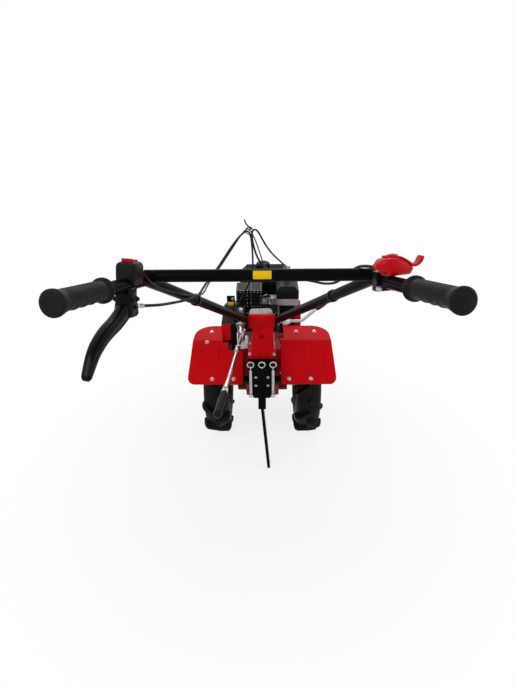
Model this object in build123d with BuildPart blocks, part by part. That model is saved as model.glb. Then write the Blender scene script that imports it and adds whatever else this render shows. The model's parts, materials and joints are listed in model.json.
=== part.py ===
from build123d import *
import math
import os

# Driving sizes in millimetres: X to the operator's right, Y forward, Z up, floor at Z 0
TYRE_RADIUS = 205.0
TYRE_WIDTH = 96.0
TRACK = 338.0
REAR_REACH = 1076.0
FRONT_REACH = 476.0
GRIP_SPREAD = 281.0
HANDLE_HEIGHT = 1034.0
TUBE_RADIUS = 12.5
PIVOT_AHEAD = -200.0
DECK_Z = 446.0
COLUMN_RISE = 114.0
HEAD_HALF = 43.0
ENGINE_BASE = 225.0
CRANK_AHEAD = 290.0
CRANK_RISE = 106.0
CYLINDER_TILT = 25.0
FENDER_HALF = 250.0
GEARBOX_HALF = 62.0
FIT = 0.3

# The box is centred on the origin, so the axle sits ahead of it
AXLE_Y = (REAR_REACH - FRONT_REACH) / 2
AXLE_Z = TYRE_RADIUS
CRANK_Z = ENGINE_BASE + CRANK_RISE
PIVOT_HEIGHT = DECK_Z + COLUMN_RISE
CROSSBAR_AHEAD = 316.0 - REAR_REACH
CROSSBAR_HEIGHT = HANDLE_HEIGHT - 86.0
CROSSBAR_HALF = GRIP_SPREAD - 56.0

# Wheels
LUG_PAIRS = 11
LUG_HEIGHT = 18.0
LUG_WIDTH = 17.0
LUG_SLANT = 36.0
CROWN_RADIUS = TYRE_RADIUS - LUG_HEIGHT
BEAD_RADIUS = 102.0
SHOULDER_RADIUS = 134.0
CASING_SIDES = 44
CARCASS = 9.0
RIM_HALF = 37.0
SHEET = 3.0
AXLE_RADIUS = 18.0
AXLE_FLATS = 30.0
BEARING_PLAY = 0.05
HUB_RADIUS = 27.0
HUB_FLANGE_RADIUS = 56.0
HUB_SIDES = 24

os.makedirs("parts", exist_ok=True)


def at(x, ahead, z):
    """A point given by how far ahead of the axle it lies."""
    return (x, AXLE_Y + ahead, z)


def save(shape, label):
    """Name one piece and write its file."""
    shape.label = label
    export_step(shape, f"parts/{label}.step")


def side_plane(x):
    """A plane facing +X at x, whose local axes run forward and up from the axle's place on the floor."""
    return Plane(origin=at(x, 0, 0), x_dir=(0, 1, 0), z_dir=(1, 0, 0))


def wheel_plane(x):
    """A plane facing +X at x, centred on the axle."""
    return Plane(origin=at(x, 0, AXLE_Z), x_dir=(0, 1, 0), z_dir=(1, 0, 0))


def bent_bar(points, bend, radius, sides=0):
    """A bar along straight runs joined by tangent arcs, round or with this many flats."""
    with BuildPart() as bar:
        with BuildLine() as route:
            if len(points) > 2:
                FilletPolyline(*points, radius=bend)
            else:
                Line(*points)
        with BuildSketch(Plane(origin=route.line @ 0, z_dir=route.line % 0)):
            if sides:
                RegularPolygon(radius, sides)
            else:
                Circle(radius)
        sweep()
    return bar.part


# Tyres: a hollow casing with slanted lugs that meet in a V
def lug_planes(centre, lean):
    planes = []
    for i in range(2 * LUG_PAIRS):
        turn = math.radians(180 * i / LUG_PAIRS)
        hand = 1 if i % 2 else -1
        out = Vector(0, -math.sin(turn), math.cos(turn))
        along = Vector(0, math.cos(turn), math.sin(turn))
        slant = math.radians(LUG_SLANT)
        run = Vector(hand * math.cos(slant), 0, 0) + along * (lean * math.sin(slant))
        planes.append(Plane(origin=centre, x_dir=run, z_dir=run.cross(out)))
    return planes


def lug_top(run):
    """How high the lug's flat top lies at this distance along it, so that its edges just reach the tyre's radius."""
    slant = math.radians(LUG_SLANT)
    aside = run * math.sin(slant) + LUG_WIDTH / 2 * math.cos(slant)
    return math.sqrt(TYRE_RADIUS**2 - aside**2)


def tyre(side):
    """A hollow casing, wide at the tread and narrow at the bead, with its lugs."""
    middle = side * TRACK / 2
    half = TYRE_WIDTH / 2
    bead_half = RIM_HALF - 6
    slant = math.radians(LUG_SLANT)
    reach = (half + 3 - LUG_WIDTH / 2 * math.sin(slant)) / math.cos(slant)
    with BuildPart() as part:
        with BuildSketch(*lug_planes(at(middle, 0, AXLE_Z), -side)):
            with BuildLine():
                Polyline(
                    (-2, CROWN_RADIUS - 5),
                    (-2, lug_top(0)),
                    (reach - 14, lug_top(reach - 14)),
                    (reach, TYRE_RADIUS - 15),
                    (reach, TYRE_RADIUS - 36),
                    (reach - 14, TYRE_RADIUS - 32),
                    close=True,
                )
            make_face()
        extrude(amount=LUG_WIDTH / 2, both=True)
        for wide, outer, inner in (
            (half, CROWN_RADIUS, SHOULDER_RADIUS),
            (bead_half, SHOULDER_RADIUS, BEAD_RADIUS),
        ):
            with BuildSketch(wheel_plane(middle - wide)):
                RegularPolygon(outer, CASING_SIDES, major_radius=False)
                RegularPolygon(inner, CASING_SIDES, major_radius=False, mode=Mode.SUBTRACT)
            extrude(amount=2 * wide)
        for wide, inner in ((half - CARCASS, SHOULDER_RADIUS + CARCASS), (bead_half - CARCASS, BEAD_RADIUS - CARCASS)):
            with BuildSketch(wheel_plane(middle - wide)):
                RegularPolygon(CROWN_RADIUS - 1.5 * CARCASS, LUG_PAIRS, major_radius=False)
                RegularPolygon(inner, LUG_PAIRS, mode=Mode.SUBTRACT)
            extrude(amount=2 * wide, mode=Mode.SUBTRACT)
    return part.part


FLANGE_RADIUS = BEAD_RADIUS + 10.0
BARREL_RADIUS = BEAD_RADIUS - FIT
DISC_RADIUS = BARREL_RADIUS - SHEET
DISC_HOLES = 5
DISC_HOLE_RADIUS = 9.0


def rim(side):
    """A flanged barrel with a flat disc in its middle."""
    middle = side * TRACK / 2
    with BuildPart() as part:
        with BuildSketch(wheel_plane(middle - RIM_HALF)):
            RegularPolygon(BARREL_RADIUS, CASING_SIDES, major_radius=False)
        extrude(amount=2 * RIM_HALF)
        for end in (middle - RIM_HALF, middle + RIM_HALF - SHEET):
            with BuildSketch(wheel_plane(end)):
                RegularPolygon(FLANGE_RADIUS, CASING_SIDES, major_radius=False)
            extrude(amount=SHEET)
        for end in (middle - RIM_HALF, middle + SHEET):
            with BuildSketch(wheel_plane(end)):
                RegularPolygon(DISC_RADIUS, CASING_SIDES, major_radius=False)
            extrude(amount=RIM_HALF - SHEET, mode=Mode.SUBTRACT)
        with BuildSketch(wheel_plane(middle - SHEET)):
            RegularPolygon(HUB_RADIUS + FIT, HUB_SIDES, major_radius=False)
            with PolarLocations((DISC_RADIUS + HUB_FLANGE_RADIUS) / 2, DISC_HOLES):
                RegularPolygon(DISC_HOLE_RADIUS, 12)
        extrude(amount=2 * SHEET, mode=Mode.SUBTRACT)
    return part.part


HUB_INNER = 98.0
HUB_OUTER = TRACK / 2 + 26.0
HUB_FLANGE = 7.0
LINCH_PIN = 9.0


def hub(side):
    """A tube with a hexagon hole, its flange bolted to the wheel disc, and a pin through tube and axle."""
    start = HUB_INNER if side > 0 else -HUB_OUTER
    flange = TRACK / 2 - SHEET - HUB_FLANGE if side > 0 else SHEET - TRACK / 2
    with BuildPart() as part:
        with BuildSketch(wheel_plane(start)):
            RegularPolygon(HUB_RADIUS, HUB_SIDES, major_radius=False)
        extrude(amount=HUB_OUTER - HUB_INNER)
        with BuildSketch(wheel_plane(flange)):
            RegularPolygon(HUB_FLANGE_RADIUS, HUB_SIDES)
        extrude(amount=HUB_FLANGE)
        with BuildSketch(wheel_plane(start)):
            RegularPolygon(AXLE_FLATS / 2 + BEARING_PLAY, 6, major_radius=False)
        extrude(amount=HUB_OUTER - HUB_INNER, mode=Mode.SUBTRACT)
        with Locations(at(side * (HUB_OUTER - 12), 0, AXLE_Z)):
            Box(LINCH_PIN, LINCH_PIN, 2 * HUB_RADIUS + 14)
    return part.part


save(tyre(-1), "tyre_left")
save(tyre(1), "tyre_right")
save(rim(-1), "rim_left")
save(rim(1), "rim_right")
save(hub(-1), "hub_left")
save(hub(1), "hub_right")

BOSS_END = 95.0
AXLE_SHOULDER = BOSS_END + 1.0
with BuildPart() as axle:
    with Locations(Location(at(0, 0, AXLE_Z), (0, 90, 0))):
        Cylinder(AXLE_RADIUS, 2 * AXLE_SHOULDER)
    for side in (-1, 1):
        with BuildSketch(wheel_plane(side * AXLE_SHOULDER)):
            RegularPolygon(AXLE_FLATS / 2, 6, major_radius=False)
        extrude(amount=side * (HUB_OUTER - 6 - AXLE_SHOULDER))
        with Locations(at(side * (HUB_OUTER - 12), 0, AXLE_Z)):
            Box(LINCH_PIN + FIT, LINCH_PIN + FIT, 4 * HUB_RADIUS, mode=Mode.SUBTRACT)
save(axle.part, "axle")

# Gearbox: two round ends in one hull, with flanges for the engine bed and the column
GEARBOX_TOP = (-105.0, DECK_Z - 70.0)
LOWER_RADIUS = 64.0
UPPER_RADIUS = 62.0
GEARBOX_WALL = 11.0
BED_JOIN = 72.0
BED_FLANGE = 100.0
BED_MIDDLE = AXLE_Z + 60.0
HITCH_JOIN = -188.0
DECK_LENGTH = 60.0
DECK_DROP = 56.0
PULLEY_BOSS = (-50.0, DECK_Z - 54.0)
PULLEY_BOSS_END = 88.0

with BuildPart() as gearbox:
    with BuildSketch(side_plane(-GEARBOX_HALF)):
        with Locations((0, AXLE_Z)):
            Circle(LOWER_RADIUS)
        with Locations(GEARBOX_TOP):
            Circle(UPPER_RADIUS)
        make_hull()
    extrude(amount=2 * GEARBOX_HALF)
    with BuildSketch(side_plane(-GEARBOX_HALF + GEARBOX_WALL)):
        with Locations((0, AXLE_Z)):
            RegularPolygon(LOWER_RADIUS - GEARBOX_WALL, 12)
        with Locations(GEARBOX_TOP):
            RegularPolygon(UPPER_RADIUS - GEARBOX_WALL, 12)
        make_hull()
    extrude(amount=2 * (GEARBOX_HALF - GEARBOX_WALL), mode=Mode.SUBTRACT)
    for x in (-GEARBOX_HALF, GEARBOX_HALF - GEARBOX_WALL):
        with BuildSketch(side_plane(x)):
            with Locations((BED_JOIN / 2, BED_MIDDLE)):
                Rectangle(BED_JOIN, BED_FLANGE)
            with Locations((HITCH_JOIN, DECK_Z)):
                Rectangle(DECK_LENGTH, DECK_DROP, align=(Align.MIN, Align.MAX))
        extrude(amount=GEARBOX_WALL)
    with BuildSketch(Plane(origin=at(0, BED_JOIN, BED_MIDDLE), x_dir=(1, 0, 0), z_dir=(0, -1, 0))):
        Rectangle(2 * GEARBOX_HALF, BED_FLANGE)
    extrude(amount=8)
    with BuildSketch(Plane.XY.offset(DECK_Z)):
        with Locations((0, AXLE_Y + HITCH_JOIN)):
            Rectangle(2 * GEARBOX_HALF, DECK_LENGTH, align=(Align.CENTER, Align.MIN))
    extrude(amount=-10)
    with BuildSketch(Plane(origin=at(0, HITCH_JOIN, DECK_Z - DECK_DROP), x_dir=(1, 0, 0), z_dir=(0, 1, 0))):
        Rectangle(2 * GEARBOX_HALF, 2 * DECK_DROP)
    extrude(amount=34)
    for side in (-1, 1):
        with BuildSketch(Plane(origin=at(side * BOSS_END, 0, AXLE_Z), z_dir=(-side, 0, 0))):
            RegularPolygon(44, HUB_SIDES)
        extrude(amount=BOSS_END - GEARBOX_HALF)
        with BuildSketch(Plane(origin=at(side * PULLEY_BOSS_END, *PULLEY_BOSS), z_dir=(-side, 0, 0))):
            RegularPolygon(38, HUB_SIDES)
        extrude(amount=PULLEY_BOSS_END - GEARBOX_HALF + GEARBOX_WALL)
    with Locations(Location(at(0, 0, AXLE_Z), (0, 90, 0))):
        Cylinder(AXLE_RADIUS + BEARING_PLAY, 3 * BOSS_END, mode=Mode.SUBTRACT)
save(gearbox.part, "gearbox")

# Engine bed: two channel rails between a rear plate and a drilled front plate
RAIL_X = 74.0
RAIL_WIDTH = 30.0
RAIL_HEIGHT = 40.0
BED_SHEET = 4.0
FRONT_PLATE = 6.0
PLATE_HOLES = (90.0, 40.0)
PLATE_HOLE_RADIUS = 5.5

BED_WIDTH = 2 * RAIL_X + RAIL_WIDTH


def bed_plane(ahead, z):
    """An upright plane across the machine that looks back, with its own x to the right."""
    return Plane(origin=at(0, ahead, z), x_dir=(1, 0, 0), z_dir=(0, -1, 0))


def bed_rail(side):
    """A channel that opens outward, from the rear plate to the front plate."""
    with BuildPart() as part:
        with BuildSketch(bed_plane(FRONT_REACH - FRONT_PLATE, ENGINE_BASE - RAIL_HEIGHT / 2)):
            with Locations((side * RAIL_X, 0)):
                Rectangle(RAIL_WIDTH, RAIL_HEIGHT)
            with Locations((side * (RAIL_X + BED_SHEET), 0)):
                Rectangle(RAIL_WIDTH, RAIL_HEIGHT - 2 * BED_SHEET, mode=Mode.SUBTRACT)
        extrude(amount=FRONT_REACH - FRONT_PLATE - BED_JOIN - BED_SHEET)
    return part.part


save(bed_rail(-1), "bed_rail_left")
save(bed_rail(1), "bed_rail_right")

with BuildPart() as bed_back_plate:
    with BuildSketch(bed_plane(BED_JOIN + BED_SHEET, BED_MIDDLE)):
        Rectangle(BED_WIDTH, BED_FLANGE + 10)
    extrude(amount=BED_SHEET)
save(bed_back_plate.part, "bed_back_plate")

with BuildPart() as bed_front_plate:
    with BuildSketch(bed_plane(FRONT_REACH, ENGINE_BASE - 30)):
        Rectangle(BED_WIDTH, 80)
        with GridLocations(*PLATE_HOLES, 2, 2):
            Circle(PLATE_HOLE_RADIUS, mode=Mode.SUBTRACT)
    extrude(amount=FRONT_PLATE)
save(bed_front_plate.part, "bed_front_plate")

# Engine
GUARD_OUTER = -144.0
GUARD_BACK = -104.0
CASE_LEFT = -82.0
CASE_RIGHT = 72.0
CASE_BACK = CRANK_AHEAD - 92.0
CASE_FRONT = CRANK_AHEAD + 92.0
CASE_TOP = ENGINE_BASE + 180.0
CASE_WALL = 9.0
CASE_MID_X = (CASE_LEFT + CASE_RIGHT) / 2
CYLINDER_AXIS = Vector(0, -math.cos(math.radians(CYLINDER_TILT)), math.sin(math.radians(CYLINDER_TILT)))
CYLINDER_FOOT = 84.0
CYLINDER_HEAD = 178.0
CYLINDER_UP = Vector(1, 0, 0).cross(CYLINDER_AXIS) * -1
FIN_WIDTH = 132.0
FIN_DEPTH = 108.0
FIN_COUNT = 6
FIN_START = 26.0
FIN_PITCH = 12.0
FIN_THICK = 4.0
PORT_HEIGHT = 150.0


def bore_plane(height):
    """A plane square to the cylinder's bore, this far along it from the crankshaft."""
    start = Vector(*at(CASE_MID_X, CRANK_AHEAD, CRANK_Z))
    return Plane(origin=start + CYLINDER_AXIS * height, x_dir=(1, 0, 0), z_dir=CYLINDER_AXIS)


def port_plane(x):
    """A plane on top of the cylinder's fins, where the exhaust and the intake are bolted on."""
    start = Vector(*at(x, CRANK_AHEAD, CRANK_Z)) + CYLINDER_AXIS * PORT_HEIGHT
    return Plane(origin=start + CYLINDER_UP * (FIN_DEPTH / 2 + FIT), x_dir=(1, 0, 0), z_dir=CYLINDER_UP)


with BuildPart() as crankcase:
    with BuildSketch(side_plane(CASE_LEFT)):
        with BuildLine():
            Polyline(
                (CASE_BACK, ENGINE_BASE),
                (CASE_FRONT, ENGINE_BASE),
                (CASE_FRONT, CASE_TOP - 60),
                (CASE_FRONT - 50, CASE_TOP),
                (CASE_BACK + 40, CASE_TOP),
                (CASE_BACK, CASE_TOP - 70),
                close=True,
            )
        make_face()
    extrude(amount=CASE_RIGHT - CASE_LEFT)
    with BuildSketch(side_plane(CASE_LEFT + CASE_WALL)):
        with Locations((CRANK_AHEAD, ENGINE_BASE + CASE_WALL)):
            Rectangle(CASE_FRONT - CASE_BACK - 2 * CASE_WALL, 95, align=(Align.CENTER, Align.MIN))
    extrude(amount=CASE_RIGHT - CASE_LEFT - 2 * CASE_WALL, mode=Mode.SUBTRACT)
    with BuildSketch(side_plane(CASE_LEFT)):
        with Locations((CRANK_AHEAD, CRANK_Z)):
            Circle(40)
    extrude(amount=GUARD_BACK + SHEET - CASE_LEFT)
save(crankcase.part, "crankcase")

with BuildPart() as cylinder:
    with BuildSketch(bore_plane(CYLINDER_FOOT)):
        Rectangle(84, 84)
    extrude(amount=CYLINDER_HEAD - CYLINDER_FOOT)
    for i in range(FIN_COUNT):
        with BuildSketch(bore_plane(CYLINDER_FOOT + FIN_START + FIN_PITCH * i)):
            Rectangle(FIN_WIDTH, FIN_DEPTH)
        extrude(amount=FIN_THICK)
    with BuildSketch(bore_plane(CYLINDER_FOOT)):
        Rectangle(56, 56)
    extrude(amount=CYLINDER_HEAD - CYLINDER_FOOT - FIN_START, mode=Mode.SUBTRACT)
    with BuildSketch(side_plane(-200)):
        with Locations((CASE_BACK + 60, ENGINE_BASE + 100)):
            Rectangle(120, 300)
    extrude(amount=400, mode=Mode.SUBTRACT)
save(cylinder.part, "cylinder")

with BuildPart() as rocker_cover:
    with BuildSketch(bore_plane(CYLINDER_HEAD)):
        RectangleRounded(90, 76, 16)
    extrude(amount=30)
    with BuildSketch(bore_plane(CYLINDER_HEAD)):
        Rectangle(76, 62)
    extrude(amount=26, mode=Mode.SUBTRACT)
    with BuildSketch(bore_plane(CYLINDER_HEAD + 30)):
        with GridLocations(66, 52, 2, 2):
            RegularPolygon(6, 6)
    extrude(amount=5)
save(rocker_cover.part, "rocker_cover")

# Spark plug with its cap, on the end of the fins beside the rocker cover
PLUG_ASIDE = 59.0
PLUG_SEAT = CYLINDER_FOOT + FIN_START + FIN_PITCH * (FIN_COUNT - 1) + FIN_THICK
with BuildPart() as spark_plug:
    with BuildSketch(bore_plane(PLUG_SEAT)):
        with Locations((PLUG_ASIDE, 0)):
            RegularPolygon(8, 6)
    extrude(amount=16)
    with BuildSketch(bore_plane(PLUG_SEAT + 16)):
        with Locations((PLUG_ASIDE, 0)):
            RegularPolygon(9, 12)
    extrude(amount=28)
save(spark_plug.part, "spark_plug")

# Muffler: two pressed boxes side by side, joined in the middle
MUFFLER_BACK = CRANK_AHEAD - 180.0
MUFFLER_BOTTOM = ENGINE_BASE + 235.0
MUFFLER_TOP = ENGINE_BASE + 305.0
MUFFLER_X = -49.5
MUFFLER_WIDTH = 99.0
MUFFLER_DEPTH = 84.0
MUFFLER_SEAM = 5.0
MUFFLER_SHEET = 2.0
PORT_RISE = 26.0
PORT_SIZE = (32.0, 36.0)
BOX_WIDTH = (MUFFLER_WIDTH - MUFFLER_SEAM) / 2
with BuildPart() as muffler:
    with BuildSketch(Plane.XY.offset(MUFFLER_BOTTOM)):
        with Locations((MUFFLER_X, AXLE_Y + MUFFLER_BACK + MUFFLER_DEPTH / 2)):
            with GridLocations(BOX_WIDTH + MUFFLER_SEAM, 0, 2, 1):
                Rectangle(BOX_WIDTH, MUFFLER_DEPTH)
            Rectangle(3 * MUFFLER_SEAM, MUFFLER_DEPTH - 4 * MUFFLER_SEAM)
    extrude(amount=MUFFLER_TOP - MUFFLER_BOTTOM)
    with BuildSketch(Plane.XY.offset(MUFFLER_BOTTOM + MUFFLER_SHEET)):
        with Locations((MUFFLER_X, AXLE_Y + MUFFLER_BACK + MUFFLER_DEPTH / 2)):
            with GridLocations(BOX_WIDTH + MUFFLER_SEAM, 0, 2, 1):
                Rectangle(BOX_WIDTH - 3 * MUFFLER_SHEET, MUFFLER_DEPTH - 3 * MUFFLER_SHEET)
    extrude(amount=MUFFLER_TOP - MUFFLER_BOTTOM - 2 * MUFFLER_SHEET, mode=Mode.SUBTRACT)
    with BuildSketch(port_plane(MUFFLER_X)):
        Rectangle(*PORT_SIZE)
    extrude(amount=PORT_RISE)
save(muffler.part, "muffler")

# Air cleaner: a hollow cover with a bevelled top
CLEANER_X = 97.0
CLEANER_AHEAD = CRANK_AHEAD - 157.0
CLEANER_WIDTH = 84.0
CLEANER_DEPTH = 96.0
CLEANER_BOTTOM = ENGINE_BASE + 282.0
CLEANER_TOP = ENGINE_BASE + 327.0
CLEANER_BEVEL = 14.0
BASE_BOTTOM = ENGINE_BASE + 255.0
with BuildPart() as air_cleaner:
    with BuildSketch(Plane.XY.offset(CLEANER_BOTTOM)):
        with Locations((CLEANER_X, AXLE_Y + CLEANER_AHEAD)):
            Rectangle(CLEANER_WIDTH, CLEANER_DEPTH)
    extrude(amount=CLEANER_TOP - CLEANER_BOTTOM)
    chamfer(air_cleaner.faces().sort_by(Axis.Z)[-1].edges(), CLEANER_BEVEL)
    with BuildSketch(Plane.XY.offset(CLEANER_BOTTOM)):
        with Locations((CLEANER_X, AXLE_Y + CLEANER_AHEAD)):
            Rectangle(CLEANER_WIDTH - 8, CLEANER_DEPTH - 8)
    extrude(amount=CLEANER_TOP - CLEANER_BOTTOM - CLEANER_BEVEL - SHEET, mode=Mode.SUBTRACT)
save(air_cleaner.part, "air_cleaner")

# Carburettor with the cleaner's base plate and the upright bracket that holds the throttle cable
INTAKE_X = 42.0
BRACKET_X = 97.0
BRACKET_AHEAD = CRANK_AHEAD - 100.0
BRACKET_TOP = ENGINE_BASE + 375.0
with BuildPart() as carburettor:
    with BuildSketch(Plane.XY.offset(BASE_BOTTOM)):
        with Locations((CLEANER_X, AXLE_Y + CLEANER_AHEAD)):
            Rectangle(CLEANER_WIDTH - 2, CLEANER_DEPTH - 2)
    extrude(amount=CLEANER_BOTTOM - BASE_BOTTOM)
    with Locations(at(INTAKE_X + 14, CRANK_AHEAD - 122, BASE_BOTTOM)):
        Box(52, 36, 26, align=(Align.CENTER, Align.CENTER, Align.MAX))
    with BuildSketch(port_plane(INTAKE_X)):
        Rectangle(*PORT_SIZE)
    extrude(amount=PORT_RISE)
    with Locations(at(BRACKET_X, BRACKET_AHEAD, BASE_BOTTOM)):
        Box(26, SHEET, BRACKET_TOP - BASE_BOTTOM, align=(Align.CENTER, Align.MAX, Align.MIN))
        Box(26, 40, SHEET, align=(Align.CENTER, Align.MAX, Align.MIN))
save(carburettor.part, "carburettor")

# Fuel tank: a bevelled box on two straps over the crankcase, with its cap
TANK_X = 16.0
TANK_AHEAD = CRANK_AHEAD + 20.0
TANK_WIDTH = 212.0
TANK_DEPTH = 190.0
TANK_BOTTOM = CASE_TOP + 44.0
TANK_SIDE = 62.0
TANK_BEVEL = 24.0
TANK_TOP = TANK_BOTTOM + TANK_SIDE + TANK_BEVEL
with BuildPart() as fuel_tank:
    with BuildSketch(Plane.XY.offset(TANK_BOTTOM)):
        with Locations((TANK_X, AXLE_Y + TANK_AHEAD)):
            RectangleRounded(TANK_WIDTH, TANK_DEPTH, 30)
    extrude(amount=TANK_SIDE + TANK_BEVEL)
    chamfer(fuel_tank.faces().sort_by(Axis.Z)[-1].edges(), TANK_BEVEL)
    with BuildSketch(Plane.XY.offset(TANK_BOTTOM + 2)):
        with Locations((TANK_X, AXLE_Y + TANK_AHEAD)):
            Rectangle(TANK_WIDTH - 22, TANK_DEPTH - 22)
    extrude(amount=TANK_SIDE, mode=Mode.SUBTRACT)
    for x in (CASE_LEFT + 20, CASE_RIGHT - 20):
        with Locations((x, AXLE_Y + TANK_AHEAD, CASE_TOP)):
            Box(14, 80, TANK_BOTTOM - CASE_TOP, align=(Align.CENTER, Align.CENTER, Align.MIN))
save(fuel_tank.part, "fuel_tank")

with BuildPart() as fuel_cap:
    with BuildSketch(Plane.XY.offset(TANK_TOP)):
        with Locations((4, AXLE_Y + CRANK_AHEAD + 45)):
            RegularPolygon(30, 24)
    extrude(amount=26)
save(fuel_cap.part, "fuel_cap")

# Recoil starter: a drum with a ring of air slots, a raised middle and its pull grip
DRUM_RADIUS = 100.0
DRUM_DEPTH = 60.0
MIDDLE_RADIUS = 70.0
MIDDLE_DEPTH = 28.0
DRUM_SIDES = 36
AIR_SLOTS = 12
with BuildPart() as recoil_starter:
    with BuildSketch(side_plane(CASE_RIGHT)):
        with Locations((CRANK_AHEAD, CRANK_Z)):
            RegularPolygon(DRUM_RADIUS, DRUM_SIDES, major_radius=False)
    extrude(amount=DRUM_DEPTH)
    with BuildSketch(side_plane(CASE_RIGHT + DRUM_DEPTH)):
        with Locations((CRANK_AHEAD, CRANK_Z)):
            RegularPolygon(MIDDLE_RADIUS, DRUM_SIDES, major_radius=False)
    extrude(amount=MIDDLE_DEPTH)
    with BuildSketch(side_plane(CASE_RIGHT)):
        with Locations((CRANK_AHEAD, CRANK_Z)):
            RegularPolygon(DRUM_RADIUS - SHEET, HUB_SIDES)
    extrude(amount=DRUM_DEPTH - SHEET, mode=Mode.SUBTRACT)
    with BuildSketch(side_plane(CASE_RIGHT + DRUM_DEPTH - SHEET)):
        with Locations((CRANK_AHEAD, CRANK_Z)):
            RegularPolygon(MIDDLE_RADIUS - SHEET, HUB_SIDES)
            with PolarLocations((DRUM_RADIUS + MIDDLE_RADIUS) / 2, AIR_SLOTS):
                Rectangle(18, 8)
    extrude(amount=MIDDLE_DEPTH, mode=Mode.SUBTRACT)
save(recoil_starter.part, "recoil_starter")

with BuildPart() as starter_grip:
    with Locations(at(CASE_RIGHT + DRUM_DEPTH / 2, CRANK_AHEAD + DRUM_RADIUS + 2 * FIT, CRANK_Z)):
        Box(20, 14, 38, align=(Align.CENTER, Align.MIN, Align.CENTER))
save(starter_grip.part, "starter_grip")

# Belt guard: a red dished cover held in a black pan, round the engine's pulley and the gearbox's
GUARD_TAIL = -76.0
GUARD_TAIL_BOTTOM = DECK_Z - 26.0
GUARD_TAIL_TOP = DECK_Z + 40.0
GUARD_RIM = 4.0
GUARD_RADIUS = 70.0
GUARD_NECK = 84.0


def belt_outline(grow):
    """The guard's outline seen from the side: round at the engine, a blunt tail over the wheel."""
    tall = GUARD_TAIL_TOP - GUARD_TAIL_BOTTOM + 2 * grow
    with Locations((CRANK_AHEAD, CRANK_Z)):
        Circle(GUARD_RADIUS + grow)
    with Locations((GUARD_NECK, GUARD_TAIL_BOTTOM - grow)):
        Rectangle(10, tall, align=(Align.MAX, Align.MIN))
    make_hull()
    with Locations((GUARD_NECK, GUARD_TAIL_BOTTOM - grow)):
        Rectangle(GUARD_NECK - GUARD_TAIL + grow, tall, align=(Align.MAX, Align.MIN))


with BuildPart() as belt_guard:
    with BuildSketch(side_plane(GUARD_OUTER)):
        belt_outline(0)
    extrude(amount=GUARD_BACK - GUARD_OUTER)
    with BuildSketch(side_plane(GUARD_OUTER + 2)):
        belt_outline(-2)
    extrude(amount=GUARD_BACK - GUARD_OUTER, mode=Mode.SUBTRACT)
save(belt_guard.part, "belt_guard")

TAB_AHEAD = 60.0
TAB_BOTTOM = GUARD_TAIL_TOP + GUARD_RIM
TAB_TOP = TAB_BOTTOM + 44.0
with BuildPart() as belt_backplate:
    with BuildSketch(side_plane(GUARD_BACK)):
        belt_outline(GUARD_RIM)
        with Locations((TAB_AHEAD, GUARD_TAIL_TOP - 20)):
            Rectangle(24, TAB_TOP - GUARD_TAIL_TOP + 20, align=(Align.MAX, Align.MIN))
    extrude(amount=SHEET)
    with Locations(at(GUARD_BACK + SHEET, TAB_AHEAD, TAB_BOTTOM)):
        Box(30, SHEET, TAB_TOP - TAB_BOTTOM, align=(Align.MAX, Align.MAX, Align.MIN))
save(belt_backplate.part, "belt_backplate")

# Fenders: bent sheets over the wheels, carried at the back by two short bars
FENDER_TOP = DECK_Z
FENDER_FRONT = -26.0
FENDER_CREASE = -125.0
FENDER_BACK = -275.0
FENDER_RISE = 6.0
FENDER_DROP = 82.0
FENDER_SHEET = 1.8
FENDER_INNER = GEARBOX_HALF + 1.5
FENDER_SLOPE = math.degrees(math.atan2(FENDER_DROP, FENDER_CREASE - FENDER_BACK))
HITCH_HALF = 42.0
BAR_HALF = 104.0
BAR_SIZE = 22.0
FENDER_NORMAL = Vector(0, -FENDER_DROP, FENDER_CREASE - FENDER_BACK)
RIB_X = 150.0
RIB_LENGTH = 120.0
RIB_WIDTH = 12.0
RIB_HEIGHT = 2.5
RIBS_BACK = (34.0, 66.0, 98.0)


def fender(side, notch):
    """A bent sheet cut to its plan: large round front corner, small rear one, cut away beside the gearbox."""
    with BuildPart() as part:
        with BuildSketch(side_plane(-2 * FENDER_HALF)):
            with BuildLine():
                Polyline(
                    (FENDER_FRONT, FENDER_TOP + FENDER_RISE),
                    (FENDER_CREASE, FENDER_TOP),
                    (FENDER_BACK, FENDER_TOP - FENDER_DROP),
                    (FENDER_BACK, FENDER_TOP - FENDER_DROP - FENDER_SHEET),
                    (FENDER_CREASE, FENDER_TOP - FENDER_SHEET),
                    (FENDER_FRONT, FENDER_TOP + FENDER_RISE - FENDER_SHEET),
                    close=True,
                )
            make_face()
        extrude(amount=4 * FENDER_HALF)
        with BuildSketch(Plane.XY.offset(FENDER_TOP - 2 * FENDER_DROP)):
            with BuildLine():
                FilletPolyline(
                    (side * FENDER_INNER, AXLE_Y + FENDER_BACK - 1),
                    (side * FENDER_HALF, AXLE_Y + FENDER_BACK - 1),
                    (side * (FENDER_HALF - 14), AXLE_Y + FENDER_FRONT + 1),
                    (side * notch, AXLE_Y + FENDER_FRONT + 1),
                    (side * notch, AXLE_Y + FENDER_CREASE - 6),
                    (side * FENDER_INNER, AXLE_Y + FENDER_CREASE - 6),
                    radius=(10, 26, 62, 10, 10, 10),
                    close=True,
                )
            make_face()
        extrude(amount=4 * FENDER_DROP, mode=Mode.INTERSECT)
        crease = at(side * RIB_X, FENDER_CREASE, FENDER_TOP)
        with BuildSketch(Plane(crease, x_dir=(1, 0, 0), z_dir=FENDER_NORMAL)):
            with Locations(*[(0, -back) for back in RIBS_BACK]):
                Rectangle(RIB_LENGTH, RIB_WIDTH)
        extrude(amount=RIB_HEIGHT)
    return part.part


save(fender(-1, -GUARD_OUTER + 6), "fender_left")
save(fender(1, 104), "fender_right")

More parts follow.
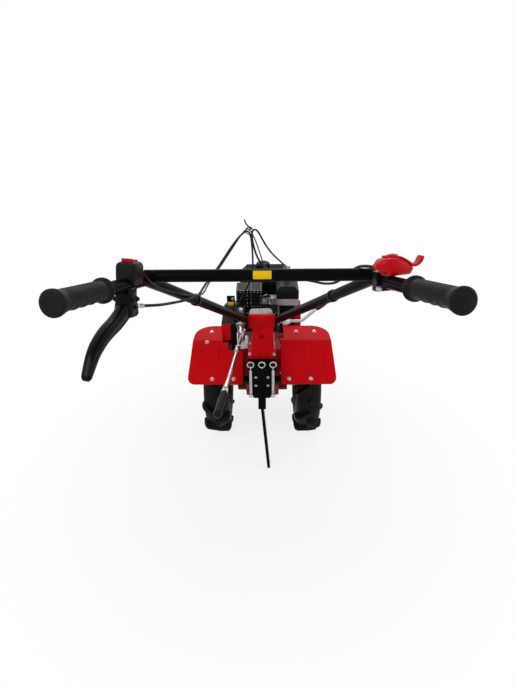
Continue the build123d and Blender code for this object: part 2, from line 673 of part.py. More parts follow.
with BuildPart() as fender_bar:
    for x in (-BAR_HALF, HITCH_HALF):
        with BuildSketch(side_plane(x)):
            with Locations(Location((FENDER_BACK, FENDER_TOP - FENDER_DROP - FENDER_SHEET, 0), (0, 0, FENDER_SLOPE))):
                with Locations((BAR_SIZE, 0)):
                    Rectangle(BAR_SIZE, BAR_SIZE, align=(Align.CENTER, Align.MAX))
        extrude(amount=BAR_HALF - HITCH_HALF)
save(fender_bar.part, "fender_bar")

# Column, hitch and coulter
COLUMN_BACK = -248.0
COLUMN_FRONT = -164.0
BOLT_RADIUS = 8.0

COLUMN_MIDDLE = AXLE_Y + (COLUMN_BACK + COLUMN_FRONT) / 2
COLUMN_FOOT = 12.0
FLARE_TOP = DECK_Z + 36.0
HEAD_RADIUS = 24.0


def column_body():
    """The flared post: its outline from behind, cut to its outline from the side."""
    with BuildPart() as part:
        with BuildSketch(bed_plane(COLUMN_FRONT, 0)):
            with BuildLine():
                Polyline(
                    (-42, DECK_Z),
                    (42, DECK_Z),
                    (42, DECK_Z + COLUMN_FOOT),
                    (38, FLARE_TOP),
                    (38, PIVOT_HEIGHT),
                    (-30, PIVOT_HEIGHT),
                    (-30, FLARE_TOP),
                    (-42, DECK_Z + COLUMN_FOOT),
                    close=True,
                )
            make_face()
        extrude(amount=COLUMN_FRONT - COLUMN_BACK)
        with BuildSketch(side_plane(-2 * HEAD_HALF)):
            with BuildLine():
                Polyline(
                    (COLUMN_BACK + 7, DECK_Z),
                    (COLUMN_FRONT - 7, DECK_Z),
                    (COLUMN_FRONT - 7, DECK_Z + COLUMN_FOOT),
                    (COLUMN_FRONT - 16, FLARE_TOP),
                    (PIVOT_AHEAD + 21, PIVOT_HEIGHT - 6),
                    (PIVOT_AHEAD - 21, PIVOT_HEIGHT - 6),
                    (COLUMN_BACK + 16, FLARE_TOP),
                    (COLUMN_BACK + 7, DECK_Z + COLUMN_FOOT),
                    close=True,
                )
            make_face()
        extrude(amount=4 * HEAD_HALF, mode=Mode.INTERSECT)
    return part.part


with BuildPart() as column:
    with BuildSketch(Plane.XY.offset(DECK_Z)):
        with Locations((0, COLUMN_MIDDLE)):
            Rectangle(92, COLUMN_FRONT - COLUMN_BACK)
    extrude(amount=COLUMN_FOOT)
    add(column_body())
    with Locations(Location(at(0, PIVOT_AHEAD, PIVOT_HEIGHT), (0, 90, 0))):
        Cylinder(HEAD_RADIUS, 2 * HEAD_HALF)
        Cylinder(BOLT_RADIUS + BEARING_PLAY, 3 * HEAD_HALF, mode=Mode.SUBTRACT)
    with Locations(Location(at(0, COLUMN_BACK, PIVOT_HEIGHT - 44), (90, 0, 0))):
        Cylinder(7, 60, mode=Mode.SUBTRACT)
save(column.part, "column")

BOLT_LEFT = -62.0
BOLT_RIGHT = 79.0
with BuildPart() as pivot_bolt:
    with BuildSketch(side_plane(BOLT_LEFT)):
        with Locations((PIVOT_AHEAD, PIVOT_HEIGHT)):
            Circle(BOLT_RADIUS)
    extrude(amount=BOLT_RIGHT - BOLT_LEFT)
    with BuildSketch(side_plane(BOLT_LEFT)):
        with Locations((PIVOT_AHEAD, PIVOT_HEIGHT)):
            RegularPolygon(14, 6)
    extrude(amount=-10)
save(pivot_bolt.part, "pivot_bolt")

# Hitch: a block under a top plate, with an upright hole for the coulter's holder and three ring pins
HITCH_BACK = -296.0
HITCH_BOTTOM = DECK_Z - 104.0
HITCH_TOE = 20.0
TOP_PLATE = 8.0
TOP_PLATE_HALF = 48.0
TOP_PLATE_LIP = 12.0
PIN_RADIUS = 5.0
PIN_X = 36.0
NUT_RADIUS = 8.0
PIN_AHEAD = HITCH_BACK - NUT_RADIUS * math.cos(math.pi / 6) - FIT
RING_Z = DECK_Z - 22.0
RING_RADIUS = 12.0
RING_HOLE = 8.5
RING_THICK = 4.0
RING_SIDES = 12
HOLDER_AHEAD = -266.0
HOLDER_BOTTOM = DECK_Z - 176.0
HOLDER_TOP = DECK_Z - 12.0
HOLDER_WIDTH = 26.0
HOLDER_DEPTH = 44.0
with BuildPart() as hitch:
    with BuildSketch(bed_plane(HITCH_JOIN, DECK_Z)):
        with BuildLine():
            Polyline(
                (-TOP_PLATE_HALF, 0),
                (TOP_PLATE_HALF, 0),
                (TOP_PLATE_HALF, -TOP_PLATE),
                (HITCH_HALF, -TOP_PLATE),
                (HITCH_HALF, HITCH_BOTTOM - DECK_Z),
                (HOLDER_WIDTH, HITCH_BOTTOM - DECK_Z - HITCH_TOE),
                (-HOLDER_WIDTH, HITCH_BOTTOM - DECK_Z - HITCH_TOE),
                (-HITCH_HALF, HITCH_BOTTOM - DECK_Z),
                (-HITCH_HALF, -TOP_PLATE),
                (-TOP_PLATE_HALF, -TOP_PLATE),
                close=True,
            )
        make_face()
    extrude(amount=HITCH_JOIN - HITCH_BACK)
    with Locations(at(0, HITCH_BACK, DECK_Z)):
        Box(2 * TOP_PLATE_HALF, 2 * TOP_PLATE_LIP, TOP_PLATE, align=(Align.CENTER, Align.CENTER, Align.MAX))
    with Locations(at(0, HOLDER_AHEAD, DECK_Z)):
        Box(HOLDER_WIDTH + 2 * FIT, HOLDER_DEPTH + 2 * FIT, 2 * (DECK_Z - HOLDER_BOTTOM), mode=Mode.SUBTRACT)
save(hitch.part, "hitch")

with BuildPart() as hitch_pins:
    for x in (-PIN_X, PIN_X):
        with BuildSketch(Plane(origin=at(x, PIN_AHEAD, HITCH_BOTTOM))):
            RegularPolygon(PIN_RADIUS, RING_SIDES)
        extrude(amount=RING_Z - RING_HOLE - HITCH_BOTTOM)
        with BuildSketch(Plane(origin=at(x, PIN_AHEAD, HITCH_BOTTOM))):
            RegularPolygon(NUT_RADIUS, 6)
        extrude(amount=-NUT_RADIUS)
    with BuildSketch(bed_plane(HITCH_BACK - FIT, RING_Z - RING_RADIUS)):
        RegularPolygon(PIN_RADIUS, RING_SIDES)
    extrude(amount=2 * PIN_RADIUS)
    with BuildSketch(bed_plane(PIN_AHEAD + RING_THICK / 2, RING_Z)):
        with Locations((-PIN_X, 0), (0, 0), (PIN_X, 0)):
            RegularPolygon(RING_RADIUS, RING_SIDES)
            RegularPolygon(RING_HOLE, RING_SIDES, mode=Mode.SUBTRACT)
    extrude(amount=RING_THICK)
save(hitch_pins.part, "hitch_pins")

COULTER_LEAN = 22.0
COULTER_WIDTH = 10.0
COULTER_DEPTH = 34.0
with BuildPart() as coulter_holder:
    with BuildSketch(Plane.XY.offset(HOLDER_BOTTOM)):
        with Locations((0, AXLE_Y + HOLDER_AHEAD)):
            Rectangle(HOLDER_WIDTH, HOLDER_DEPTH)
            Rectangle(COULTER_WIDTH + 2 * FIT, COULTER_DEPTH + 2 * FIT, mode=Mode.SUBTRACT)
    extrude(amount=HOLDER_TOP - HOLDER_BOTTOM)
save(coulter_holder.part, "coulter_holder")

with BuildPart() as coulter:
    with BuildSketch(bed_plane(HOLDER_AHEAD + COULTER_DEPTH / 2, 0)):
        with BuildLine():
            Polyline(
                (-COULTER_WIDTH / 2, HOLDER_TOP),
                (COULTER_WIDTH / 2, HOLDER_TOP),
                (COULTER_WIDTH / 2, HOLDER_BOTTOM),
                (COULTER_LEAN + COULTER_WIDTH / 2, 0),
                (COULTER_LEAN - COULTER_WIDTH / 2, 0),
                (-COULTER_WIDTH / 2, HOLDER_BOTTOM),
                close=True,
            )
        make_face()
    extrude(amount=COULTER_DEPTH)
save(coulter.part, "coulter")


def beyond(start, end, length):
    """The point this far past end on the line from start."""
    run = (Vector(*end) - Vector(*start)).normalized()
    return tuple(Vector(*end) + run * length)


# Gear lever: from a post on a small cast housing, back beside the column
HOUSING_LEFT = -80.0
HOUSING_RIGHT = -47.0
HOUSING_BACK = -184.0
HOUSING_DEPTH = 44.0
HOUSING_TALL = 32.0
LEVER_ROD = 6.0
ROD_SIDES = 8
POST_RADIUS = 8.0
POST_AT = (-63.0, -162.0)
POST_TOP = DECK_Z + 64.0
LEVER_ROOT = at(*POST_AT, POST_TOP - 6)
LEVER_KNEE = at(-80, -230, DECK_Z + 28)
LEVER_END = at(-110, -448, DECK_Z + 7)
with BuildPart() as shift_housing:
    with Locations(at(HOUSING_LEFT, HOUSING_BACK, DECK_Z)):
        Box(HOUSING_RIGHT - HOUSING_LEFT, HOUSING_DEPTH, HOUSING_TALL, align=(Align.MIN, Align.MIN, Align.MIN))
    chamfer(shift_housing.faces().sort_by(Axis.Z)[-1].edges(), 6)
save(shift_housing.part, "shift_housing")

with BuildPart() as gear_lever:
    with Locations(at(*POST_AT, DECK_Z + HOUSING_TALL)):
        Cylinder(POST_RADIUS, POST_TOP - DECK_Z - HOUSING_TALL, align=(Align.CENTER, Align.CENTER, Align.MIN))
    add(bent_bar([LEVER_ROOT, LEVER_KNEE, LEVER_END], 24, LEVER_ROD, ROD_SIDES))
save(gear_lever.part, "gear_lever")
save(bent_bar([LEVER_END, beyond(LEVER_KNEE, LEVER_END, 106)], 0, 12.5, 2 * ROD_SIDES), "gear_grip")

# Clamp lever on the right end of the pivot bolt
CLAMP_LEFT = 68.0
CLAMP_RIGHT = 94.0
CLAMP_KNEE = at(130, PIVOT_AHEAD, PIVOT_HEIGHT)
CLAMP_END = at(178, PIVOT_AHEAD + 4, PIVOT_HEIGHT + 42)
with BuildPart() as clamp_lever:
    with BuildSketch(side_plane(CLAMP_LEFT)):
        with Locations((PIVOT_AHEAD, PIVOT_HEIGHT)):
            Circle(15)
    extrude(amount=CLAMP_RIGHT - CLAMP_LEFT)
    with BuildSketch(side_plane(CLAMP_LEFT)):
        with Locations((PIVOT_AHEAD, PIVOT_HEIGHT)):
            Circle(BOLT_RADIUS + BEARING_PLAY)
    extrude(amount=BOLT_RIGHT - CLAMP_LEFT + FIT, mode=Mode.SUBTRACT)
    add(bent_bar([at(CLAMP_RIGHT - 4, PIVOT_AHEAD, PIVOT_HEIGHT), CLAMP_KNEE, CLAMP_END], 24, 5, ROD_SIDES))
save(clamp_lever.part, "clamp_lever")
save(bent_bar([CLAMP_END, beyond(CLAMP_KNEE, CLAMP_END, 64)], 0, 10, 2 * ROD_SIDES), "clamp_grip")

# Handlebar: two arms pinned to the column's head, a crossbar, grips and controls
ARM_PLATE = 6.0
ARM_X = HEAD_HALF + FIT + ARM_PLATE / 2
GRIP_LENGTH = 152.0
GRIP_RADIUS = 18.0
GRIP_SIDES = 16
END_CAP = 6.0
GRIP_END_LEAN = 6.9
CROSSBAR_STEP = 8.0
ARM_BEND = 90.0


def arm_points(side):
    """The arm's route: eye at the column, bend at the crossbar, end of the grip."""
    eye = at(side * (ARM_X + 2), PIVOT_AHEAD - 26, PIVOT_HEIGHT + 18)
    bend = at(side * CROSSBAR_HALF, CROSSBAR_AHEAD, CROSSBAR_HEIGHT - CROSSBAR_STEP)
    tip = at(side * GRIP_SPREAD, GRIP_END_LEAN - REAR_REACH, HANDLE_HEIGHT)
    return eye, bend, tip


def grip_line(side):
    """Where the grip begins, and the direction it runs in."""
    eye, bend, tip = [Vector(*p) for p in arm_points(side)]
    run = (tip - bend).normalized()
    return tip - run * GRIP_LENGTH, run


def arm(side):
    eye, bend, tip = arm_points(side)
    start, run = grip_line(side)
    with BuildPart() as part:
        add(bent_bar([eye, bend, tuple(start + run * (GRIP_LENGTH - 6))], ARM_BEND, TUBE_RADIUS))
        with BuildSketch(side_plane(side * ARM_X - ARM_PLATE / 2)):
            with BuildLine():
                Polyline(
                    (PIVOT_AHEAD + 22, PIVOT_HEIGHT - 26),
                    (PIVOT_AHEAD + 22, PIVOT_HEIGHT + 22),
                    (PIVOT_AHEAD - 40, PIVOT_HEIGHT + 46),
                    (PIVOT_AHEAD - 48, PIVOT_HEIGHT + 16),
                    (PIVOT_AHEAD - 20, PIVOT_HEIGHT - 26),
                    close=True,
                )
            make_face()
            with Locations((PIVOT_AHEAD, PIVOT_HEIGHT)):
                Circle(BOLT_RADIUS + BEARING_PLAY, mode=Mode.SUBTRACT)
        extrude(amount=ARM_PLATE)
        with BuildSketch(side_plane(side * (ARM_X - ARM_PLATE / 2))):
            Rectangle(3 * REAR_REACH, 3 * REAR_REACH)
        extrude(amount=-side * 40, mode=Mode.SUBTRACT)
    return part.part


def grip(side):
    start, run = grip_line(side)
    square = Plane(origin=start, z_dir=run)
    with BuildPart() as part:
        with BuildSketch(square):
            RegularPolygon(GRIP_RADIUS, GRIP_SIDES)
        extrude(amount=GRIP_LENGTH)
        for along, grow in ((0, 4), (GRIP_LENGTH - END_CAP, 3)):
            with BuildSketch(square.offset(along)):
                RegularPolygon(GRIP_RADIUS + grow, GRIP_SIDES, major_radius=False)
            extrude(amount=END_CAP)
        with BuildSketch(square):
            RegularPolygon(TUBE_RADIUS + FIT, GRIP_SIDES, major_radius=False)
        extrude(amount=GRIP_LENGTH - END_CAP + 1, mode=Mode.SUBTRACT)
    return part.part


save(arm(-1), "arm_left")
save(arm(1), "arm_right")
save(grip(-1), "grip_left")
save(grip(1), "grip_right")

# The crossbar's ends are cut to sit on the arms
COPE_RADIUS = (TUBE_RADIUS + FIT) / math.cos(math.pi / GRIP_SIDES)
with BuildPart() as crossbar:
    with Locations(Location(at(0, CROSSBAR_AHEAD, CROSSBAR_HEIGHT), (0, 90, 0))):
        Cylinder(TUBE_RADIUS, 2 * CROSSBAR_HALF)
    for side in (-1, 1):
        add(bent_bar(arm_points(side), ARM_BEND, COPE_RADIUS, GRIP_SIDES), mode=Mode.SUBTRACT)
save(crossbar.part, "crossbar")


# Controls are placed by the grip's own line: along it, square to it and sideways
def control_plane(side, along):
    start, run = grip_line(side)
    across = run.cross(Vector(0, 0, 1)).normalized()
    return Plane(origin=start + run * along, x_dir=run, z_dir=across)


def control_point(side, along, rise, aside=0.0):
    """A point near the handle tube: along the grip's line, above it, and to the operator's left."""
    return tuple(control_plane(side, along).from_local_coords(Vector(0, rise, aside)))


CONTROL_GAP = TUBE_RADIUS + FIT

# Clutch: a bent sheet bracket under the left tube and a stamped lever on its pin
CLUTCH_ALONG = -85.0
BRACKET_LENGTH = 56.0
BRACKET_TALL = 46.0
BRACKET_HALF = 17.0
LEVER_HALF = 11.0
LEVER_SHEET = 3.0
LEVER_PIN = (0.0, -40.0)
LEVER_PIN_RADIUS = 4.0
LEVER_UPPER = [(-10, -24), (40, -50), (85, -63), (128, -86), (156, -132)]
LEVER_LOWER = [(146, -140), (120, -106), (81, -85), (40, -76), (-10, -56)]
CHANNEL_SIDE = 14.0

with BuildPart() as clutch_bracket:
    with BuildSketch(control_plane(-1, CLUTCH_ALONG).offset(-BRACKET_HALF)):
        with Locations((0, -CONTROL_GAP)):
            Rectangle(BRACKET_LENGTH, BRACKET_TALL, align=(Align.CENTER, Align.MAX))
    extrude(amount=2 * BRACKET_HALF)
    with BuildSketch(control_plane(-1, CLUTCH_ALONG).offset(SHEET - BRACKET_HALF)):
        with Locations((SHEET, -CONTROL_GAP - SHEET)):
            Rectangle(BRACKET_LENGTH, BRACKET_TALL, align=(Align.CENTER, Align.MAX))
    extrude(amount=2 * (BRACKET_HALF - SHEET), mode=Mode.SUBTRACT)
save(clutch_bracket.part, "clutch_bracket")

with BuildPart() as clutch_lever:
    with BuildSketch(control_plane(-1, CLUTCH_ALONG).offset(-LEVER_HALF)):
        with BuildLine():
            ThreePointArc(*LEVER_UPPER[:3])
            ThreePointArc(*LEVER_UPPER[2:])
            Line(LEVER_UPPER[-1], LEVER_LOWER[0])
            ThreePointArc(*LEVER_LOWER[:3])
            ThreePointArc(*LEVER_LOWER[2:])
            Line(LEVER_LOWER[-1], LEVER_UPPER[0])
        make_face()
    extrude(amount=2 * LEVER_HALF)
    with BuildSketch(control_plane(-1, CLUTCH_ALONG).offset(LEVER_SHEET - LEVER_HALF)):
        with BuildLine():
            under = [(u, v - LEVER_SHEET) for u, v in LEVER_UPPER]
            ThreePointArc(*under[:3])
            ThreePointArc(*under[2:])
            Polyline(under[-1], *[(u, v - CHANNEL_SIDE) for u, v in LEVER_LOWER], under[0])
        make_face()
    extrude(amount=2 * (LEVER_HALF - LEVER_SHEET), mode=Mode.SUBTRACT)
    with BuildSketch(control_plane(-1, CLUTCH_ALONG).offset(SHEET + FIT - BRACKET_HALF)):
        with Locations(LEVER_PIN):
            RegularPolygon(LEVER_PIN_RADIUS, ROD_SIDES)
    extrude(amount=2 * (BRACKET_HALF - SHEET - FIT))
save(clutch_lever.part, "clutch_lever")

# Stop switch: a box on top of the left tube with a red rocker
SWITCH_ALONG = -105.0
SWITCH_LENGTH = 40.0
SWITCH_TALL = 28.0
SWITCH_HALF = 20.0
with BuildPart() as stop_switch:
    with BuildSketch(control_plane(-1, SWITCH_ALONG).offset(-SWITCH_HALF)):
        with Locations((0, CONTROL_GAP)):
            Rectangle(SWITCH_LENGTH, SWITCH_TALL, align=(Align.CENTER, Align.MIN))
    extrude(amount=2 * SWITCH_HALF)
save(stop_switch.part, "stop_switch")

with BuildPart() as stop_rocker:
    with BuildSketch(control_plane(-1, SWITCH_ALONG).offset(-SWITCH_HALF / 2)):
        with BuildLine():
            Polyline(
                (-13, CONTROL_GAP + SWITCH_TALL),
                (13, CONTROL_GAP + SWITCH_TALL),
                (13, CONTROL_GAP + SWITCH_TALL + 6),
                (0, CONTROL_GAP + SWITCH_TALL + 3),
                (-13, CONTROL_GAP + SWITCH_TALL + 3),
                close=True,
            )
        make_face()
    extrude(amount=SWITCH_HALF)
save(stop_rocker.part, "stop_rocker")

# Throttle: a round housing on top of the right tube, its thumb lever, and the clamp that holds it
THROTTLE_ALONG = -90.0
THROTTLE_RADIUS = 24.0
THROTTLE_TALL = 26.0
THUMB_REACH = 54.0
THUMB_SHEET = 6.0
CLAMP_ALONG = -140.0
CLAMP_HALF = 18.0


def throttle_plane(rise):
    """A plane above the right tube, looking up: its own x to the grip's end, y to the operator's right."""
    beside = control_plane(1, THROTTLE_ALONG)
    return Plane(origin=control_point(1, THROTTLE_ALONG, rise), x_dir=beside.x_dir, z_dir=beside.y_dir)


with BuildPart() as throttle_body:
    with BuildSketch(throttle_plane(CONTROL_GAP)):
        RegularPolygon(THROTTLE_RADIUS, HUB_SIDES)
    extrude(amount=THROTTLE_TALL)
save(throttle_body.part, "throttle_body")

with BuildPart() as throttle_lever:
    with BuildSketch(throttle_plane(CONTROL_GAP + THROTTLE_TALL)):
        RegularPolygon(THROTTLE_RADIUS / 2, GRIP_SIDES)
        with Locations((0, THUMB_REACH / 2)):
            Rectangle(14, THUMB_REACH)
    extrude(amount=THUMB_SHEET)
    with BuildSketch(throttle_plane(CONTROL_GAP + THROTTLE_TALL + THUMB_SHEET)):
        with Locations((4, THUMB_REACH - 5)):
            Rectangle(26, 10)
    extrude(amount=-20)
save(throttle_lever.part, "throttle_lever")

with BuildPart() as throttle_clamp:
    beside = control_plane(1, CLAMP_ALONG)
    with BuildSketch(Plane(origin=beside.origin, x_dir=beside.z_dir, z_dir=beside.x_dir)):
        Rectangle(2 * CLAMP_HALF, 2 * CLAMP_HALF)
        RegularPolygon(CONTROL_GAP, GRIP_SIDES, major_radius=False, mode=Mode.SUBTRACT)
    extrude(amount=22)
save(throttle_clamp.part, "throttle_clamp")

# Cables: from the controls along the arms, over in an arch and down to the engine
CABLE_RADIUS = 3.0
WIRE_RADIUS = 2.0
CABLE_SIDES = 5


def cable(name, points, radius):
    """A sheathed cable along its route, every bend as wide as its two runs allow."""
    runs = [(Vector(*b) - Vector(*a)) for a, b in zip(points, points[1:])]
    bends = []
    for before, after in zip(runs, runs[1:]):
        half_turn = math.radians(before.get_angle(after)) / 2
        bends.append(0.45 * min(before.length, after.length) / math.tan(half_turn))
    print(name, "bend radii in mm:", ", ".join(f"{bend:.0f}" for bend in bends))
    save(bent_bar(points, bends, radius, CABLE_SIDES), name)


cable(
    "clutch_cable",
    [
        control_point(-1, CLUTCH_ALONG - BRACKET_LENGTH / 2 - 2 * FIT, -42, -8),
        at(-203, -790, 898),
        at(-190, -712, 866),
        at(-164, -634, 838),
        at(-147, -572, 821),
        at(-142, -505, 816),
        at(-128, -435, 815),
        at(-108, -370, 826),
        at(-83, -310, 850),
        at(-57, -258, 870),
        at(-38, -212, 868),
        at(-31, -165, 835),
        at(-29, -120, 785),
        at(-28, -80, 730),
        at(-30, -46, 676),
        at(-44, -22, 616),
        at(-76, -16, 552),
        at(GUARD_BACK + SHEET / 2, -18, GUARD_TAIL_TOP + GUARD_RIM + 3 * FIT),
    ],
    CABLE_RADIUS,
)
cable(
    "throttle_cable",
    [
        control_point(1, THROTTLE_ALONG - 14, 26, 20.1),
        at(200, -768, 972),
        at(189, -702, 934),
        at(174, -634, 878),
        at(155, -560, 843),
        at(129, -500, 826),
        at(93, -440, 808),
        at(53, -380, 791),
        at(17, -320, 785),
        at(-10, -280, 803),
        at(-25, -252, 846),
        at(-27, -214, 868),
        at(-12, -170, 858),
        at(6, -116, 803),
        at(26, -58, 751),
        at(47, 4, 706),
        at(67, 62, 667),
        at(84, 122, 630),
        at(BRACKET_X, BRACKET_AHEAD - SHEET - 8 * FIT, BRACKET_TOP - 8),
    ],
    CABLE_RADIUS,
)
cable(
    "switch_wire",
    [
        control_point(-1, SWITCH_ALONG - SWITCH_LENGTH / 2 - 5 * FIT, 20, -16),
        at(-208, -768, 930),
        at(-186, -706, 890),
        at(-158, -640, 850),
        at(-137, -574, 822),
        at(-132, -500, 820),
        at(-117, -430, 821),
        at(-97, -362, 834),
        at(-72, -303, 857),
        at(-52, -255, 874),
        at(-37, -216, 878),
        at(-22, -170, 836),
        at(-10, -116, 781),
        at(1, -62, 724),
        at(10, -8, 673),
        at(20, 46, 626),
        at(28, 104, 580),
        at(36, 160, 532),
        at(56, 198, 468),
        at(90, CRANK_AHEAD - 66, CRANK_Z + 76.7),
    ],
    WIRE_RADIUS,
)
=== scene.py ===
"""Looks of a two-wheeled hand tractor: finishes, small fittings, cables and the studio round it."""

import json
import math

import bmesh
import bpy
import numpy as np
from mathutils import Matrix, Vector


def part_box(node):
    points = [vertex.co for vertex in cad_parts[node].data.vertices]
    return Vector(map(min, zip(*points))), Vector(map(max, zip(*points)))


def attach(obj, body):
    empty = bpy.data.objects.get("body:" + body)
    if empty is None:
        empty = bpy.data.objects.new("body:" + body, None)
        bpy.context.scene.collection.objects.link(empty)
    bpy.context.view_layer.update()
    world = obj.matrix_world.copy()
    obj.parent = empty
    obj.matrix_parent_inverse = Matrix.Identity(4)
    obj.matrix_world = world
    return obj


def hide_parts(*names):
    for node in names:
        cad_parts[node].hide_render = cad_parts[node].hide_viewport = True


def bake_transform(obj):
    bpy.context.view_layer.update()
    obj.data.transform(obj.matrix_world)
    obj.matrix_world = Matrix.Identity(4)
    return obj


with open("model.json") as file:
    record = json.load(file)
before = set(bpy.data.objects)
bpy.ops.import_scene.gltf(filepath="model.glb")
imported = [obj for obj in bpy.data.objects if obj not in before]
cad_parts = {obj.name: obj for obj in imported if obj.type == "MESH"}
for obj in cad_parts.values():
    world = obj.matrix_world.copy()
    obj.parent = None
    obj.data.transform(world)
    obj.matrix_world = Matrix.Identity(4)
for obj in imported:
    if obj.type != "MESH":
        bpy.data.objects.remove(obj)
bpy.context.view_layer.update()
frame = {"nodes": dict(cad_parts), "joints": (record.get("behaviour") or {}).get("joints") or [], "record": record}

bl_info = {
    "name": "Hand tractor looks",
    "version": (1, 0, 0),
    "blender": (4, 5, 0),
    "location": "View3D > Sidebar > Tractor",
    "description": "Dresses a packed hand tractor with its finishes, fittings, cables and studio",
    "category": "Object",
}

AXLE = Vector(next(joint["pos_m"] for joint in frame["joints"] if joint["name"] == "axle_spin"))
SLOT_OF = {row["node"]: row["material_slot"] for row in frame["record"]["subparts"]}
PHOTO_HEIGHT = 688

# Where the handlebar's arms begin, bend and end, in millimetres from the axle's place on the floor
ARM_EYE = (48.3, -226.0, 578.0)
ARM_BEND = (225.0, -760.0, 940.0)
ARM_TIP = (281.0, -1069.1, 1034.0)
GRIP_LENGTH = 0.152
TUBE_RADIUS = 0.0125
SIDES = (("left", -1), ("right", 1))

# Directions, the first two square to the fenders' two runs
SLOPE = (0, -82, 150)
FLAT = (0, -6, 99)
AHEAD = (0, 1, 0)
BACK = (0, -1, 0)
UP = (0, 0, 1)
LEFT = (-1, 0, 0)
RIGHT = (1, 0, 0)


def at(x, ahead, z):
    """A point in millimetres from the axle's place on the floor, as metres in the row frame."""
    return (x / 1000, AXLE.y + ahead / 1000, z / 1000)


# Values that a user would change


def colour_prop(name, description, default):
    """A colour of three shares from 0 to 1."""
    return bpy.props.FloatVectorProperty(
        name=name, description=description, subtype="COLOR", size=3, min=0, max=1, default=default)


def number_prop(name, description, default, **kind):
    """One number, with the unit or subtype that fits it."""
    return bpy.props.FloatProperty(name=name, description=description, default=default, **kind)


class TractorColours(bpy.types.PropertyGroup):
    """Colours that a user would change."""

    red: colour_prop("Red", "Gloss paint of the fenders, column and guard", (0.62, 0.004, 0.008))
    # The gearbox's red paint, made darker with painted shade for where it lies between the fenders and under the
    # column
    shaded_gearbox_red: colour_prop("Dark red", "Paint of the gearbox casting", (0.26, 0.004, 0.007))
    black: colour_prop("Black", "Gloss paint of tubes, hitch and sheet metal", (0.003, 0.003, 0.0033))
    rubber: colour_prop("Rubber", "Tyres and grips", (0.0045, 0.0045, 0.0048))
    sticker: colour_prop("Sticker", "Plain yellow stickers", (0.84, 0.53, 0.004))


class TractorSizes(bpy.types.PropertyGroup):
    """Sizes of what is added to the frame."""

    cable_diameter: number_prop(
        "Cable diameter", "Outside of the clutch and throttle cables", 0.006, unit="LENGTH")
    wire_diameter: number_prop("Wire diameter", "Outside of the stop switch's wire", 0.004, unit="LENGTH")
    bolt_flats: number_prop("Bolt head", "Width across the flats of a fender bolt", 0.008, unit="LENGTH")
    lug_height: number_prop(
        "Lug height", "How far the tyre's lugs stand above the tread", 0.018, unit="LENGTH")


class StudioSettings(bpy.types.PropertyGroup):
    """Camera and lamps."""

    eye: bpy.props.FloatVectorProperty(
        name="Eye", description="Where the camera stands", subtype="XYZ", unit="LENGTH",
        size=3, default=at(10.9, -1710.7, 1334.5))
    pitch: number_prop("Pitch", "How far the camera looks down", math.radians(29.65), subtype="ANGLE")
    yaw: number_prop("Yaw", "How far the camera looks to the right", math.radians(-0.90), subtype="ANGLE")
    roll: number_prop("Roll", "Turn of the picture", math.radians(-0.73), subtype="ANGLE")
    focal_pixels: number_prop("Focal length", "In pixels of the photograph's frame", 520.0, subtype="PIXEL")
    key: number_prop("Key lamp", "Power of the key lamp in watts", 34.0, unit="POWER")
    back: number_prop("Back lamp", "Power of the far lamp in watts", 30.0, unit="POWER")
    fill: number_prop("Fill lamp", "Power of the side lamp in watts", 14.0, unit="POWER")
    sky: number_prop("Sky", "Strength of the even light", 0.42)


# Meshes from arrays


def turns(count):
    """Equal angles round a circle, from nought up to the last before a full turn."""
    return np.arange(count) * 2 * np.pi / count


def unit(vectors):
    """Vectors divided by their lengths."""
    return vectors / np.linalg.norm(vectors, axis=-1, keepdims=True)


def powered(values, power):
    """|v|^k with the sign of v, which makes a circle's cosine and sine a superellipse's."""
    return np.sign(values) * np.abs(values) ** power


def run_along(path):
    """How far each point of a path lies from its start, along it."""
    return np.concatenate([[0], np.cumsum(np.linalg.norm(np.diff(path, axis=0), axis=1))])


def capped(count):
    """Row numbers with the first and last repeated, and their shares of the full width, nought at both ends."""
    rows = [0, *range(count), count - 1]
    share = np.ones(len(rows))
    share[[0, -1]] = 0
    return rows, share


def grid_faces(rows, columns, wrap=False):
    """Quads between neighbouring rows and columns of points, the columns joined into a ring if wrap."""
    across = np.arange(columns if wrap else columns - 1)
    row, column = np.meshgrid(np.arange(rows - 1), across, indexing="ij")
    near, far, after = row * columns, (row + 1) * columns, (column + 1) % columns
    return np.stack((near + column, near + after, far + after, far + column), -1).reshape(-1, 4)


def joined(parts):
    """Several (points, quads) shapes as one."""
    starts = np.cumsum([0] + [len(points) for points, _ in parts[:-1]])
    points = np.concatenate([points for points, _ in parts])
    return points, np.concatenate([quads + start for (_, quads), start in zip(parts, starts)])


def repeated(shape, matrices):
    """One shape copied by each 4 by 4 matrix of an array, as one shape."""
    points, quads = shape
    copies = np.einsum("mij,nj->mni", matrices[:, :3, :3], points) + matrices[:, None, :3, 3]
    steps = np.arange(len(matrices))[:, None, None] * len(points)
    return copies.reshape(-1, 3), (quads[None] + steps).reshape(-1, 4)


def moved(shape, matrix):
    """A shape carried by a 4 by 4 matrix."""
    return repeated(shape, np.array(matrix, float)[None])


def aimed(places, directions):
    """Matrices that put a shape's +Z along each direction at each place."""
    rows = []
    for place, direction in zip(places, directions):
        turn = Vector(direction).to_track_quat("Z", "Y").to_matrix().to_4x4()
        rows.append(np.array(Matrix.Translation(place) @ turn))
    return np.array(rows)


def lathe(profile, sides):
    """A profile of (radius, height) pairs turned round Z: point = (r cos a, r sin a, h)."""
    profile = np.asarray(profile, float)
    turn = turns(sides)
    radius, height = profile[:, 0, None], profile[:, 1, None]
    points = np.stack([radius * np.cos(turn), radius * np.sin(turn), height + 0 * turn], -1)
    return points.reshape(-1, 3), grid_faces(len(profile), sides, wrap=True)


